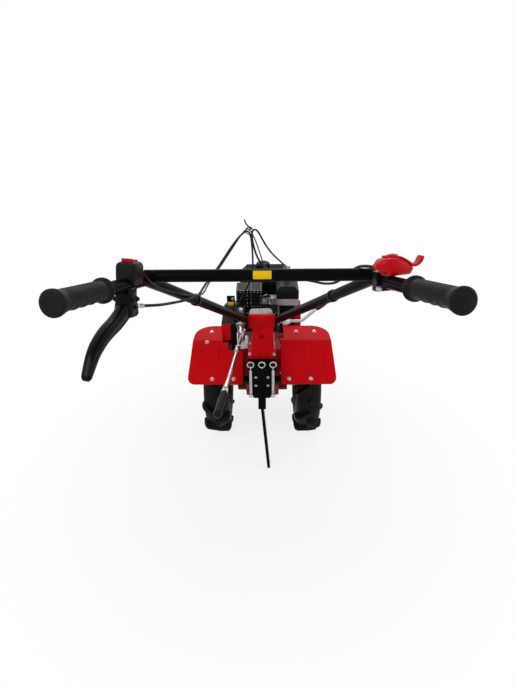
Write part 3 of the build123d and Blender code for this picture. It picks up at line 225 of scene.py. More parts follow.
def tube(path, radius, sides=12):
    """A circle carried along a path: point = p + r (n cos a + b sin a), its ends drawn in to closed caps."""
    path = np.asarray(path, float)
    along = unit(np.gradient(path, axis=0))
    normal = np.cross(along[0], np.eye(3)[np.argmin(np.abs(along[0]))])
    normals = []
    for step in along:
        normal = unit(normal - step * (normal @ step))
        normals.append(normal)
    normals = np.array(normals)
    across = np.cross(along, normals)
    rows, share = capped(len(path))
    reach = np.broadcast_to(radius, len(path))[rows] * share
    turn = turns(sides)[None, :, None]
    circle = normals[rows, None] * np.cos(turn) + across[rows, None] * np.sin(turn)
    points = path[rows, None] + circle * reach[:, None, None]
    return points.reshape(-1, 3), grid_faces(len(rows), sides, wrap=True)


def rounded_square(sides, square):
    """Round a superellipse, |cos a|^k and |sin a|^k with their signs, half a step off the axes."""
    turn = turns(sides) + np.pi / sides
    return powered(np.cos(turn), square), powered(np.sin(turn), square)


def ribbon(path, side, half_width, half_thick, sides=16, square=0.35):
    """A rounded rectangle carried along a path: point = p + w |cos a|^k s + h |sin a|^k n, its ends closed."""
    path = np.asarray(path, float)
    side = np.broadcast_to(np.asarray(side, float), path.shape)
    normal = unit(np.cross(unit(np.gradient(path, axis=0)), side))
    rows, share = capped(len(path))
    wide = np.broadcast_to(half_width, len(path))[rows] * share
    thick = np.broadcast_to(half_thick, len(path))[rows] * share
    across, above = rounded_square(sides, square)
    points = path[rows, None] + side[rows, None] * (wide[:, None] * across)[..., None]
    points = points + normal[rows, None] * (thick[:, None] * above)[..., None]
    return points.reshape(-1, 3), grid_faces(len(rows), sides, wrap=True)


def ring(centre, first, second, radius, thick, wide, square, sides=16, steps=41):
    """A closed band: point = c + (R + t |cos b|^k) o(a) + w |sin b|^k n, where o(a) = u cos a + v sin a."""
    way = np.linspace(0, 2 * np.pi, steps)[:, None, None]
    out, along = (part[None, :, None] for part in rounded_square(sides, square))
    spoke = np.asarray(first) * np.cos(way) + np.asarray(second) * np.sin(way)
    points = np.asarray(centre) + (radius + thick * out) * spoke + wide * along * np.cross(first, second)
    return points.reshape(-1, 3), grid_faces(steps, sides, wrap=True)


def arc(centre, first, second, radius, start, end, steps):
    """Points on part of a circle: p = c + r (u cos a + v sin a)."""
    turn = np.linspace(start, end, steps)[:, None]
    return np.asarray(centre) + radius * (np.asarray(first) * np.cos(turn) + np.asarray(second) * np.sin(turn))


def hex_bolt(flats):
    """A six-sided head with a bevelled top on a round washer, both turned round Z."""
    radius, tall = flats / np.sqrt(3), 0.6 * flats
    base, wide = 0.12 * flats, 0.85 * flats
    head = lathe([(0, base), (radius, base), (radius, base + 0.8 * tall), (0.8 * radius, base + tall),
                  (0, base + tall)], 6)
    disc = lathe([(0, 0), (wide, 0), (wide, 0.7 * base), (0.92 * wide, base), (0, base)], 20)
    return joined([disc, head])


def handle(length, radius):
    """A turned hand grip along Z: slim at its neck, full in the middle, with a round end."""
    along = np.array([0.0, 0.0, 0.03, 0.12, 0.35, 0.65, 0.85, 0.93, 0.98, 1.0, 1.0])
    wide = np.array([0.0, 0.66, 0.74, 0.80, 0.97, 0.90, 0.99, 0.98, 0.82, 0.5, 0.0])
    return lathe(np.stack([radius * wide, length * along], -1), 28)


def smooth_line(points):
    """The line of a NURBS spline of order 3 with these control points, read from a curve with no bevel."""
    data = bpy.data.curves.new("line", "CURVE")
    data.dimensions = "3D"
    spline = data.splines.new("NURBS")
    spline.points.add(len(points) - 1)
    spline.points.foreach_set("co", np.column_stack([points, np.ones(len(points))]).ravel())
    spline.order_u = 3
    spline.use_endpoint_u = True
    spline.resolution_u = 8
    holder = bpy.data.objects.new("line", data)
    mesh = bpy.data.meshes.new_from_object(holder)
    line = np.empty(3 * len(mesh.vertices))
    mesh.vertices.foreach_get("co", line)
    bpy.data.objects.remove(holder)
    bpy.data.curves.remove(data)
    bpy.data.meshes.remove(mesh)
    return line.reshape(-1, 3)


def line_at(*points):
    """A smooth line by control points in millimetres from the axle's place on the floor."""
    return smooth_line([at(*point) for point in points])


def grip_frame(side):
    """Where a grip begins: its own x runs to the grip's end, y to the operator's right, z up."""
    bend = Vector(at(side * ARM_BEND[0], *ARM_BEND[1:]))
    tip = Vector(at(side * ARM_TIP[0], *ARM_TIP[1:]))
    run = (tip - bend).normalized()
    right = Vector(UP).cross(run).normalized()
    turn = Matrix((run, right, run.cross(right))).transposed().to_4x4()
    return Matrix.Translation(tip - run * GRIP_LENGTH) @ turn


# Materials by the name of their finish, filled by the finishes' operator
FINISH = {}


def piece(name, shape, finish, body=None, node_name=None, slot=None, smooth=True):
    """A mesh object from (points, quads), closed and facing outwards, that rides on a body and stands for a CAD
    node. The slot argument is not used."""
    points, quads = shape
    mesh = bpy.data.meshes.new(name)
    mesh.from_pydata(points.tolist(), [], quads.tolist())
    edit = bmesh.new()
    edit.from_mesh(mesh)
    bmesh.ops.remove_doubles(edit, verts=edit.verts, dist=1e-6)
    bmesh.ops.dissolve_degenerate(edit, edges=edit.edges, dist=1e-7)
    bmesh.ops.recalc_face_normals(edit, faces=edit.faces)
    edit.to_mesh(mesh)
    edit.free()
    mesh.polygons.foreach_set("use_smooth", np.full(len(mesh.polygons), smooth))
    mesh.materials.append(FINISH[finish])
    obj = bpy.data.objects.new(name, mesh)
    bpy.context.scene.collection.objects.link(obj)
    slot = slot or finish
    if body:
        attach(obj, body)
    if node_name:
        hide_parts(node_name)
    return obj


# Shader groups and materials

FLOAT = "NodeSocketFloat"
COLOUR = "NodeSocketColor"
VECTOR = "NodeSocketVector"


def node(tree, kind, place=(0, 0), inputs=None, **settings):
    """A shader node at a place in its tree, with its settings and its inputs' values by name or number."""
    made = tree.nodes.new(kind)
    made.location = place
    for key, value in settings.items():
        setattr(made, key, value)
    for key, value in (inputs or {}).items():
        made.inputs[key].default_value = value
    return made


def wire(tree, *rows):
    """Links, each a row of node, output, node and input."""
    for source, output, target, entry in rows:
        tree.links.new(source.outputs[output], target.inputs[entry])


def new_group(name, inputs, outputs):
    """An empty shader group with named sockets, each (name, socket type, default)."""
    group = bpy.data.node_groups.new(name, "ShaderNodeTree")
    for label, kind, default in inputs:
        socket = group.interface.new_socket(label, in_out="INPUT", socket_type=kind)
        socket.default_value = default
    for label, kind in outputs:
        group.interface.new_socket(label, in_out="OUTPUT", socket_type=kind)
    return group, node(group, "NodeGroupInput", (-800, 0)), node(group, "NodeGroupOutput", (600, 0))


def mottle_group():
    """Two sizes of noise: a colour that drifts between two, a roughness and a fine height."""
    inputs = [("Colour", COLOUR, (0.5, 0.5, 0.5, 1)), ("Other colour", COLOUR, (0.4, 0.4, 0.4, 1)),
              ("Patch scale", FLOAT, 9.0), ("Grain scale", FLOAT, 900.0), ("Roughness", FLOAT, 0.4),
              ("Roughness drift", FLOAT, 0.1)]
    outputs = [("Colour", COLOUR), ("Roughness", FLOAT), ("Height", FLOAT)]
    group, given, result = new_group("Mottled surface", inputs, outputs)
    place = node(group, "ShaderNodeTexCoord", (-800, -300))
    patches = node(group, "ShaderNodeTexNoise", (-500, 100), {"Detail": 5})
    grain = node(group, "ShaderNodeTexNoise", (-500, -200), {"Detail": 3})
    spread = node(group, "ShaderNodeMapRange", (-300, 100), {"From Min": 0.35, "From Max": 0.65})
    mix = node(group, "ShaderNodeMix", (0, 200), data_type="RGBA")
    drift = node(group, "ShaderNodeMath", (0, -50), operation="MULTIPLY_ADD")
    wire(group,
         (place, "Object", patches, "Vector"), (given, "Patch scale", patches, "Scale"),
         (place, "Object", grain, "Vector"), (given, "Grain scale", grain, "Scale"),
         (patches, "Fac", spread, "Value"), (spread, "Result", mix, "Factor"),
         (given, "Colour", mix, "A"), (given, "Other colour", mix, "B"),
         (spread, "Result", drift, 0), (given, "Roughness drift", drift, 1), (given, "Roughness", drift, 2),
         (mix, "Result", result, "Colour"), (drift, 0, result, "Roughness"), (grain, "Fac", result, "Height"))
    return group


def soft_edge_group():
    """Normals rounded over sharp edges, as a paint film or a casting has them."""
    group, given, result = new_group("Soft edges", [("Radius", FLOAT, 0.001)], [("Normal", VECTOR)])
    bevel = node(group, "ShaderNodeBevel", (-200, 0), samples=4)
    wire(group, (given, "Radius", bevel, "Radius"), (bevel, "Normal", result, "Normal"))
    return group


def finish_rows(colours):
    """Each finish: colour and other colour, patch and grain scale, roughness and its drift, bump strength, edge
    radius in metres, specular level and metallic."""
    red, shaded_red = tuple(colours.red), tuple(colours.shaded_gearbox_red)
    black, rubber = tuple(colours.black), tuple(colours.rubber)
    sticker = tuple(colours.sticker)
    worn_red = (red[0] * 0.88, red[1], red[2])
    worn_shaded_red = (shaded_red[0] * 0.75, shaded_red[1], shaded_red[2])
    worn_black = (0.0045, 0.0045, 0.005)
    worn_sticker = (sticker[0] * 0.96, sticker[1] * 0.94, sticker[2])
    hot, hot_grey = (0.006, 0.006, 0.0065), (0.011, 0.0105, 0.0105)
    alloy, alloy_dark = (0.46, 0.47, 0.47), (0.34, 0.35, 0.35)
    plastic, plastic_grey = (0.005, 0.005, 0.0055), (0.008, 0.008, 0.0085)
    sheath, sheath_grey = (0.004, 0.004, 0.0045), (0.007, 0.007, 0.0075)
    return {
        "red_paint": (red, worn_red, 7, 420, 0.28, 0.06, 0.03, 0.0010, 0.022, 0),
        # The gearbox: red paint darkened with painted shade, mottled with random darker patches
        "gearbox_paint": (shaded_red, worn_shaded_red, 12, 260, 0.36, 0.10, 0.25, 0.0016, 0.06, 0),
        "black_paint": (black, worn_black, 8, 380, 0.20, 0.08, 0.04, 0.0009, 0.018, 0),
        "lever_gloss": (black, worn_black, 8, 380, 0.16, 0.05, 0.02, 0.0009, 0.07, 0),
        "heat_black": (hot, hot_grey, 16, 900, 0.36, 0.12, 0.12, 0.0012, 0.10, 0),
        "cast_aluminium": (alloy, alloy_dark, 24, 700, 0.34, 0.14, 0.25, 0.0012, 0.5, 1),
        "black_plastic": (plastic, plastic_grey, 14, 1500, 0.34, 0.10, 0.10, 0.0014, 0.09, 0),
        "red_plastic": ((0.56, 0.004, 0.009), (0.50, 0.003, 0.008), 20, 900, 0.30, 0.08, 0.05, 0.0016, 0.10, 0),
        "grip_rubber": (rubber, (0.008, 0.008, 0.0085), 18, 1800, 0.44, 0.12, 0.15, 0.0006, 0.10, 0),
        "tyre_rubber": (rubber, (0.009, 0.0088, 0.0085), 11, 500, 0.54, 0.14, 0.25, 0.0020, 0.10, 0),
        "bright_steel": ((0.42, 0.42, 0.43), (0.32, 0.32, 0.33), 30, 600, 0.18, 0.10, 0.03, 0.0006, 0.5, 1),
        "zinc_steel": ((0.50, 0.50, 0.48), (0.38, 0.375, 0.35), 60, 800, 0.26, 0.14, 0.08, 0.0006, 0.5, 1),
        "cable_sheath": (sheath, sheath_grey, 30, 1500, 0.38, 0.10, 0.05, 0.0003, 0.10, 0),
        "sticker_yellow": (sticker, worn_sticker, 20, 500, 0.32, 0.05, 0.02, 0.0002, 0.12, 0),
        "tag_green": ((0.10, 0.42, 0.03), (0.08, 0.36, 0.03), 40, 500, 0.50, 0.05, 0.02, 0.0002, 0.5, 0),
    }


def principled(material):
    """A material's Principled shader."""
    return next(n for n in material.node_tree.nodes if n.type == "BSDF_PRINCIPLED")


class TRACTOR_OT_finishes(bpy.types.Operator):
    """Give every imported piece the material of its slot"""

    bl_idname = "tractor.finishes"
    bl_label = "Finishes"

    bump_depth = 0.0005
    # Nodes whose finish isn't that of their slot
    own_finish = {"recoil_starter": "starter_paint", "belt_guard": "guard_paint", "cylinder": "heat_black"}
    # Left of this place the starter's cover is black, and so is the guard where it faces up by this much
    starter_edge, guard_facing = 0.131, 0.5

    def execute(self, context):
        colours = context.scene.tractor_colours
        self.mottle = mottle_group()
        self.edges = soft_edge_group()
        for name, row in finish_rows(colours).items():
            FINISH[name] = self.surface(name, *row)
        for name, base, *rule in (
                ("starter_paint", "red_plastic", "Object", "X", "LESS_THAN", self.starter_edge),
                ("guard_paint", "red_paint", "Normal", "Z", "GREATER_THAN", self.guard_facing)):
            FINISH[name] = self.two_tone(name, base, tuple(colours.black), *rule)
        for name, obj in frame["nodes"].items():
            obj.data.materials.clear()
            obj.data.materials.append(FINISH[self.own_finish.get(name, SLOT_OF[name])])
        return {"FINISHED"}

    def surface(self, name, colour, other, patch, grain, rough, drift, bump, edge, shine, metal):
        """One finish: mottled colour and roughness, fine bump and softened edges on a Principled shader."""
        material = bpy.data.materials.new(name)
        material.use_nodes = True
        material.diffuse_color = (*colour, 1)
        tree = material.node_tree
        shader = principled(material)
        shader.inputs["Metallic"].default_value = metal
        shader.inputs["Specular IOR Level"].default_value = shine
        values = {"Colour": (*colour, 1), "Other colour": (*other, 1), "Patch scale": patch,
                  "Grain scale": grain, "Roughness": rough, "Roughness drift": drift}
        mottled = node(tree, "ShaderNodeGroup", (-500, 100), values, node_tree=self.mottle)
        soft = node(tree, "ShaderNodeGroup", (-500, -250), {"Radius": edge}, node_tree=self.edges)
        dents = node(tree, "ShaderNodeBump", (-250, -150), {"Strength": bump, "Distance": self.bump_depth})
        wire(tree, (mottled, "Colour", shader, "Base Color"), (mottled, "Roughness", shader, "Roughness"),
             (mottled, "Height", dents, "Height"), (soft, "Normal", dents, "Normal"),
             (dents, "Normal", shader, "Normal"))
        return material

    def two_tone(self, name, base, other, coordinate, axis, test, edge):
        """A finish that changes to another colour where one part of its place or facing passes a test."""
        material = FINISH[base].copy()
        material.name = name
        tree = material.node_tree
        mottled = next(n for n in tree.nodes if n.type == "GROUP" and n.node_tree == self.mottle)
        place = node(tree, "ShaderNodeTexCoord", (-900, 400))
        parts = node(tree, "ShaderNodeSeparateXYZ", (-700, 400))
        step = node(tree, "ShaderNodeMath", (-500, 400), {1: edge}, operation=test)
        mix = node(tree, "ShaderNodeMix", (-200, 300), {"B": (*other, 1)}, data_type="RGBA")
        wire(tree, (place, coordinate, parts, 0), (parts, axis, step, 0), (step, 0, mix, "Factor"),
             (mottled, "Colour", mix, "A"), (mix, "Result", principled(material), "Base Color"))
        return material


# Cables: control points of each route, in millimetres from the axle's place on the floor
ROUTES = {
    "clutch_cable": [
        (-229.8, -831.8, 917.6), (-203, -790, 898), (-190, -712, 866), (-164, -634, 838), (-147, -572, 821),
        (-142, -505, 816), (-128, -435, 815), (-108, -370, 826), (-83, -310, 850), (-57, -258, 870),
        (-38, -212, 868), (-31, -165, 835), (-29, -120, 785), (-28, -80, 730), (-30, -46, 676),
        (-44, -22, 616), (-76, -16, 552), (-102.5, -18, 490.9)],
    "throttle_cable": [
        (216, -824.5, 986.6), (200, -768, 972), (189, -702, 934), (174, -634, 878), (155, -560, 843),
        (129, -500, 826), (93, -440, 808), (53, -380, 791), (17, -320, 785), (-10, -280, 803),
        (-25, -252, 846), (-27, -214, 868), (-12, -170, 858), (6, -116, 803), (26, -58, 751),
        (47, 4, 706), (67, 62, 667), (84, 122, 630), (97, 184.6, 592)],
    "switch_wire": [
        (-216.7, -803.7, 973.3), (-208, -768, 930), (-186, -706, 890), (-158, -640, 850), (-137, -574, 822),
        (-132, -500, 820), (-117, -430, 821), (-97, -362, 834), (-72, -303, 857), (-52, -255, 874),
        (-37, -216, 878), (-22, -170, 836), (-10, -116, 781), (1, -62, 724), (10, -8, 673),
        (20, 46, 626), (28, 104, 580), (36, 160, 532), (56, 198, 468), (90, 224, 407.7)],
}


def across_the_pivot(obj):
    """Bakes a piece's place into its mesh; the piece rides on no body."""
    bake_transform(obj)


class TRACTOR_OT_cables(bpy.types.Operator):
    """Clutch cable, throttle cable and switch wire as smooth tubes, with their tie, adjusters and straps"""

    bl_idname = "tractor.cables"
    bl_label = "Cables"

    def execute(self, context):
        sizes = context.scene.tractor_sizes
        for name, route in ROUTES.items():
            wide = sizes.wire_diameter if name == "switch_wire" else sizes.cable_diameter
            line = line_at(*route)
            sheath = piece(name + "_sheath", tube(line, wide / 2, 14), "cable_sheath", node_name=name)
            across_the_pivot(sheath)
        self.tie()
        self.adjusters()
        self.straps()
        return {"FINISHED"}

    def tie(self):
        """A band round the three cables where they meet, with its tail standing up."""
        middle = np.array(at(-34, -212, 866))
        band = ring(middle, RIGHT, (0, 0.35, 0.94), 0.0105, 0.0014, 0.0030, 0.35)
        tail = middle + np.array([(6, 0, 4), (-3, 1, 13), (-10, 1, 22), (-14, 1, 33)]) / 1000
        shape = joined([band, ribbon(tail, AHEAD, 0.0026, 0.0018)])
        across_the_pivot(piece("cable_tie", shape, "black_plastic"))

    def adjusters(self):
        """Barrels with lock nuts where the cables enter the clutch bracket and the engine's bracket."""
        barrel = lathe([(0, 0), (0.0036, 0), (0.0042, 0.001), (0.0042, 0.018), (0.0036, 0.019), (0, 0.019)], 18)
        nut = lathe([(0, -0.005), (0.0068, -0.005), (0.0068, -0.0005), (0, -0.0005)], 6)
        shape = joined([barrel, nut])
        for name, ends, body in (("clutch_adjuster", ROUTES["clutch_cable"][:2], "handlebar"),
                                 ("throttle_adjuster", ROUTES["throttle_cable"][:-3:-1], "chassis")):
            near, far = (Vector(at(*point)) for point in ends)
            piece(name, repeated(shape, aimed([near], [far - near])), "zinc_steel", body)

    def straps(self):
        """A band round each arm, which holds the cables to it."""
        thick, wide = 0.0012, 0.006
        shapes = []
        for side, share in ((-1, 0.62), (1, 0.69)):
            eye = np.array(at(side * ARM_EYE[0], *ARM_EYE[1:]))
            bend = np.array(at(side * ARM_BEND[0], *ARM_BEND[1:]))
            along = unit(bend - eye)
            aside = unit(np.cross(along, UP))
            above = np.cross(aside, along)
            centre = eye + share * (bend - eye)
            shapes.append(ring(centre, aside, above, TUBE_RADIUS + thick, thick, wide, 0.35))
        piece("cable_straps", joined(shapes), "black_plastic", "handlebar")


class TRACTOR_OT_grips(bpy.types.Operator):
    """Moulded rubber grips with fine rings on top and finger hollows underneath"""

    bl_idname = "tractor.grips"
    bl_label = "Grips"

    # Outline as (place along the grip, radius): the flange at its start and the round bead at its end
    flange = [(0, 0), (0, 0.0207), (0.0008, 0.0217), (0.005, 0.0217), (0.0066, 0.019), (0.009, 0.0166),
              (0.018, 0.0163)]
    bead = [(0.131, 0.0176), (0.137, 0.0188), (0.143, 0.0201), (0.1465, 0.0206), (0.1495, 0.0206),
            (0.1514, 0.0192), (GRIP_LENGTH, 0.0165), (GRIP_LENGTH, 0)]
    sleeve_start, sleeve_end, sleeve_rows = (0.0225, 0.0170), (0.128, 0.0171), 150
    ribbed_from, ribbed_to = 0.024, 0.127
    ring_pitch, ring_height = 0.0052, 0.0006
    hollow_pitch, hollow_depth = 0.0264, 0.0024

    def execute(self, context):
        for name, side in SIDES:
            shape = moved(self.shape(), grip_frame(side))
            piece(f"grip_{name}_moulded", shape, "grip_rubber", "handlebar", f"grip_{name}")
        return {"FINISHED"}

    def shape(self):
        """Radius = turned outline + rings on the upper half - hollows on the lower half, round the grip's x."""
        sleeve = np.linspace(self.sleeve_start, self.sleeve_end, self.sleeve_rows)
        x, outline = np.concatenate([self.flange, sleeve, self.bead]).T
        turn = turns(56)
        body = ((x > self.ribbed_from) & (x < self.ribbed_to))[:, None]
        top = np.clip(np.cos(turn) + 0.35, 0, 1)[None]
        below = np.clip(-np.cos(turn), 0, 1)[None]
        wave = np.clip(3 * np.cos(2 * np.pi * x / self.ring_pitch), 0, 1)[:, None]
        dip = (0.5 - 0.5 * np.cos(2 * np.pi * (x - self.sleeve_start[0]) / self.hollow_pitch))[:, None]
        radius = outline[:, None] + (self.ring_height * wave * top - self.hollow_depth * dip * below) * body
        points = np.stack([x[:, None] + 0 * turn, radius * np.sin(turn), radius * np.cos(turn)], -1)
        return points.reshape(-1, 3), grid_faces(len(x), len(turn), wrap=True)


class TRACTOR_OT_tyres(bpy.types.Operator):
    """Tyres with round sidewalls and slanted lugs that meet in a V"""

    bl_idname = "tractor.tyres"
    bl_label = "Tyres"

    pairs = 11
    slant = math.radians(36)
    half_width = 0.046
    middle_radius = 0.1445
    squareness = 2.6
    # A lug's run along its bar, how deep it sits in the casing, and its section from foot to foot
    lug_start, lug_end = -0.002, 0.0569
    sunk, lowest, end_lift = 0.004, 0.166, 0.006
    section_across = np.array([-0.0085, -0.0072, -0.0055, 0.0055, 0.0072, 0.0085, 0.0075, -0.0075])
    section_lift = np.array([0.0, 0.80, 1.0, 1.0, 0.80, 0.0, -0.1, -0.1])

    def execute(self, context):
        self.tread = AXLE.z - context.scene.tractor_sizes.lug_height
        for name, side in SIDES:
            low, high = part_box(f"tyre_{name}")
            middle = Matrix.Translation(((low.x + high.x) / 2, AXLE.y, AXLE.z))
            shape = moved(joined([self.casing(), self.lugs(side)]), middle)
            piece(f"tyre_{name}_moulded", shape, "tyre_rubber", "wheel_set", f"tyre_{name}")
        return {"FINISHED"}

    def casing(self):
        """A superellipse section (x, r) = (w |cos|^k, m + h |sin|^k), turned round the axle."""
        section = np.linspace(0, 2 * np.pi, 61)[:, None]
        turn = turns(110)
        power = 2 / self.squareness
        x = self.half_width * powered(np.cos(section), power)
        radius = self.middle_radius + (self.tread - self.middle_radius) * powered(np.sin(section), power)
        points = np.stack([x + 0 * turn, -radius * np.sin(turn), radius * np.cos(turn)], -1)
        return points.reshape(-1, 3), grid_faces(len(section), len(turn), wrap=True)

    def lugs(self, side):
        """A bevelled bar carried slantwise from the tread's middle over its shoulder: x and the way round come
        from the run along the bar and the step across it, the radius from the casing up to the bar's top."""
        rows, share = capped(16)
        run = np.linspace(self.lug_start, self.lug_end, 16)[rows]
        cosine, sine = math.cos(self.slant), math.sin(self.slant)
        aside = np.clip(run * cosine, 0, 0.99 * self.half_width)
        round_off = (1 - (aside / self.half_width) ** self.squareness) ** (1 / self.squareness)
        casing = self.middle_radius + (self.tread - self.middle_radius) * round_off
        base = np.maximum(casing - self.sunk, self.lowest)
        top = np.interp(run, [0, 0.043, 0.052, self.lug_end], [0.2046, 0.2040, 0.198, 0.187])
        radius = base[:, None] + ((top - base) * share)[:, None] * self.section_lift
        radius = radius + self.end_lift * (1 - share)[:, None]
        step = self.section_across * share[:, None]
        count = np.arange(2 * self.pairs)[:, None, None]
        hand = np.where(count % 2, 1, -1)
        x = run[:, None] * cosine * hand + side * sine * step
        way = -side * run[:, None] * sine + hand * cosine * step
        turn = count * np.pi / self.pairs - way / radius
        points = np.stack([x, -radius * np.sin(turn), radius * np.cos(turn)], -1)
        faces = grid_faces(*step.shape, wrap=True)
        return points.reshape(-1, 3), (faces + count * step.size).reshape(-1, 4)


class TRACTOR_OT_fenders(bpy.types.Operator):
    """Fenders: bent sheets with round corners and two pressed ribs each"""

    bl_idname = "tractor.fenders"
    bl_label = "Fenders"

    # In millimetres: ends and bend along the machine, heights, edges across, radii of the corners
    front, crease, back = -26.0, -125.0, -275.0
    top, rise, drop, sheet = 446.0, 6.0, 82.0, 1.8
    bend_softness = 2.0
    half, taper, inner = 250.0, 14.0, 63.5
    front_corner, back_corner, inner_corner = 62.0, 26.0, 10.0
    between_corners = np.linspace(-90, -246, 80)
    # Ribs: places across, where they start and end, the length of their fade, and height and width in one
    ribs, rib_start, rib_end, rib_fade, rib_size = (152.0, 217.0), -134.0, -224.0, 8.0, 2.8
    # Notches: where the inner edge lies ahead of a place
    cuts = {"left": [(138.0, -131.0), (116.0, -160.0)], "right": [(76.0, -110.0)]}
    cut_step = 0.02

    def execute(self, context):
        for name, side in SIDES:
            shape = self.shape(side, self.cuts[name])
            piece(f"fender_{name}_pressed", shape, "red_paint", "chassis", f"fender_{name}")
        return {"FINISHED"}

    def height(self, ahead):
        """Two straight runs that meet in a bend: z of the sheet's top by the place along it, in millimetres."""
        flat = self.top + self.rise * (ahead - self.crease) / (self.front - self.crease)
        slope = self.top + self.drop * (ahead - self.crease) / (self.crease - self.back)
        return 0.5 * (flat + slope - np.sqrt((flat - slope) ** 2 + self.bend_softness))

    def drawn_in(self, radius, distance):
        """How far a corner's quarter circle draws an edge in, at a distance from the sheet's end."""
        gap = np.clip(radius - distance, 0, radius)
        return radius - np.sqrt(radius ** 2 - gap ** 2)

    def shape(self, side, cuts):
        """A sheet z(ahead) + ribs(x), from its inner to its outer edge, whose corners are quarter circles."""
        bend = 1 - np.cos(np.linspace(0, np.pi / 2, 14))
        steps = [limit + gap for _, limit in cuts for gap in (-self.cut_step, self.cut_step)]
        front, back = self.front - self.front_corner * bend, self.back + self.back_corner * bend
        ahead = np.unique(np.concatenate([front, self.between_corners, back, steps]))[::-1]
        outer = self.half - self.taper * (ahead - self.back) / (self.front - self.back)
        outer = outer - self.drawn_in(self.front_corner, self.front - ahead)
        outer = outer - self.drawn_in(self.back_corner, ahead - self.back)
        inner = self.inner + self.drawn_in(self.inner_corner, ahead - self.back)
        for reach, limit in cuts:
            inner = np.where(ahead > limit, np.maximum(inner, reach), inner)
        x = inner[:, None] + np.linspace(0, 1, 131) * (outer - inner)[:, None]
        fade = np.clip(np.minimum(self.rib_start - ahead, ahead - self.rib_end) / self.rib_fade, 0, 1)[:, None]
        raised = sum(self.rib_size * np.exp(-((x - rib) / self.rib_size) ** 2) for rib in self.ribs) * fade
        upper = self.height(ahead)[:, None] + raised
        ends, share = capped(len(ahead))
        x = np.concatenate([x, x[:, ::-1]], 1)[ends]
        z = np.concatenate([upper[ends], upper[ends, ::-1] - self.sheet * share[:, None]], 1)
        points = np.stack([side * x / 1000, AXLE.y + ahead[ends, None] / 1000 + 0 * x, z / 1000], -1)
        return points.reshape(-1, 3), grid_faces(len(ends), x.shape[1], wrap=True)


class TRACTOR_OT_levers(bpy.types.Operator):
    """Gear lever and clamp lever as smooth rods with turned handles"""

    bl_idname = "tractor.levers"
    bl_label = "Levers"

    def execute(self, context):
        self.gear()
        self.clamp()
        return {"FINISHED"}

    def grip_on(self, name, start, toward, length, radius, node_name):
        """A turned plastic handle on the end of a lever."""
        way = Vector(at(*start)) - Vector(at(*toward))
        shape = repeated(handle(length, radius), aimed([at(*start)], [way]))
        piece(name, shape, "black_plastic", "chassis", node_name)

    def gear(self):
        """A rod from the post, through a clevis, to a cone that carries the handle; a loop beside the post."""
        root, knee, end = (-63, -162, 503), (-80, -230, 474), (-110, -448, 453)
        line = line_at(root, (-73, -202, 487), knee, (-84, -262, 470.5), (-97, -356, 462), end)
        along = run_along(line)
        radius = np.interp(along[-1] - along, [0, 0.004, 0.045, 0.05], [0.0105, 0.0105, 0.0062, 0.0060])
        clevis = (along > 0.066) & (along < 0.094)
        rod = tube(line, np.where(clevis, 0.0088, radius), 20)
        post = moved(lathe([(0, 0), (0.008, 0), (0.008, 0.030), (0.0066, 0.032), (0, 0.032)], 24),
                     Matrix.Translation(at(-63, -162, 478)))
        loop = tube(line_at((-72, -166, 477), (-78, -170, 508), (-84, -176, 540), (-72, -180, 541),
                            (-64, -172, 520), (-63, -164, 503)), 0.003, 12)
        piece("gear_lever_rod", joined([rod, post, loop]), "bright_steel", "chassis", "gear_lever")
        self.grip_on("gear_grip_turned", end, knee, 0.106, 0.0125, "gear_grip")

    def clamp(self):
        """A cast boss on the pivot bolt and a bent rod with its handle."""
        knee, end = (130, -200, 560), (178, -196, 602)
        boss = lathe([(0, 0), (0.0145, 0), (0.015, 0.001), (0.015, 0.013), (0.0125, 0.018), (0.0085, 0.026),
                      (0, 0.026)], 28)
        boss = repeated(boss, aimed([at(68, -200, 560)], [RIGHT]))
        rod = tube(line_at((90, -200, 560), (112, -200, 560), knee, (146, -198.7, 574), end), 0.005, 18)
        piece("clamp_boss", boss, "cast_aluminium", "chassis", "clamp_lever")
        piece("clamp_rod", rod, "bright_steel", "chassis", "clamp_lever")
        self.grip_on("clamp_grip_turned", end, knee, 0.064, 0.010, "clamp_grip")


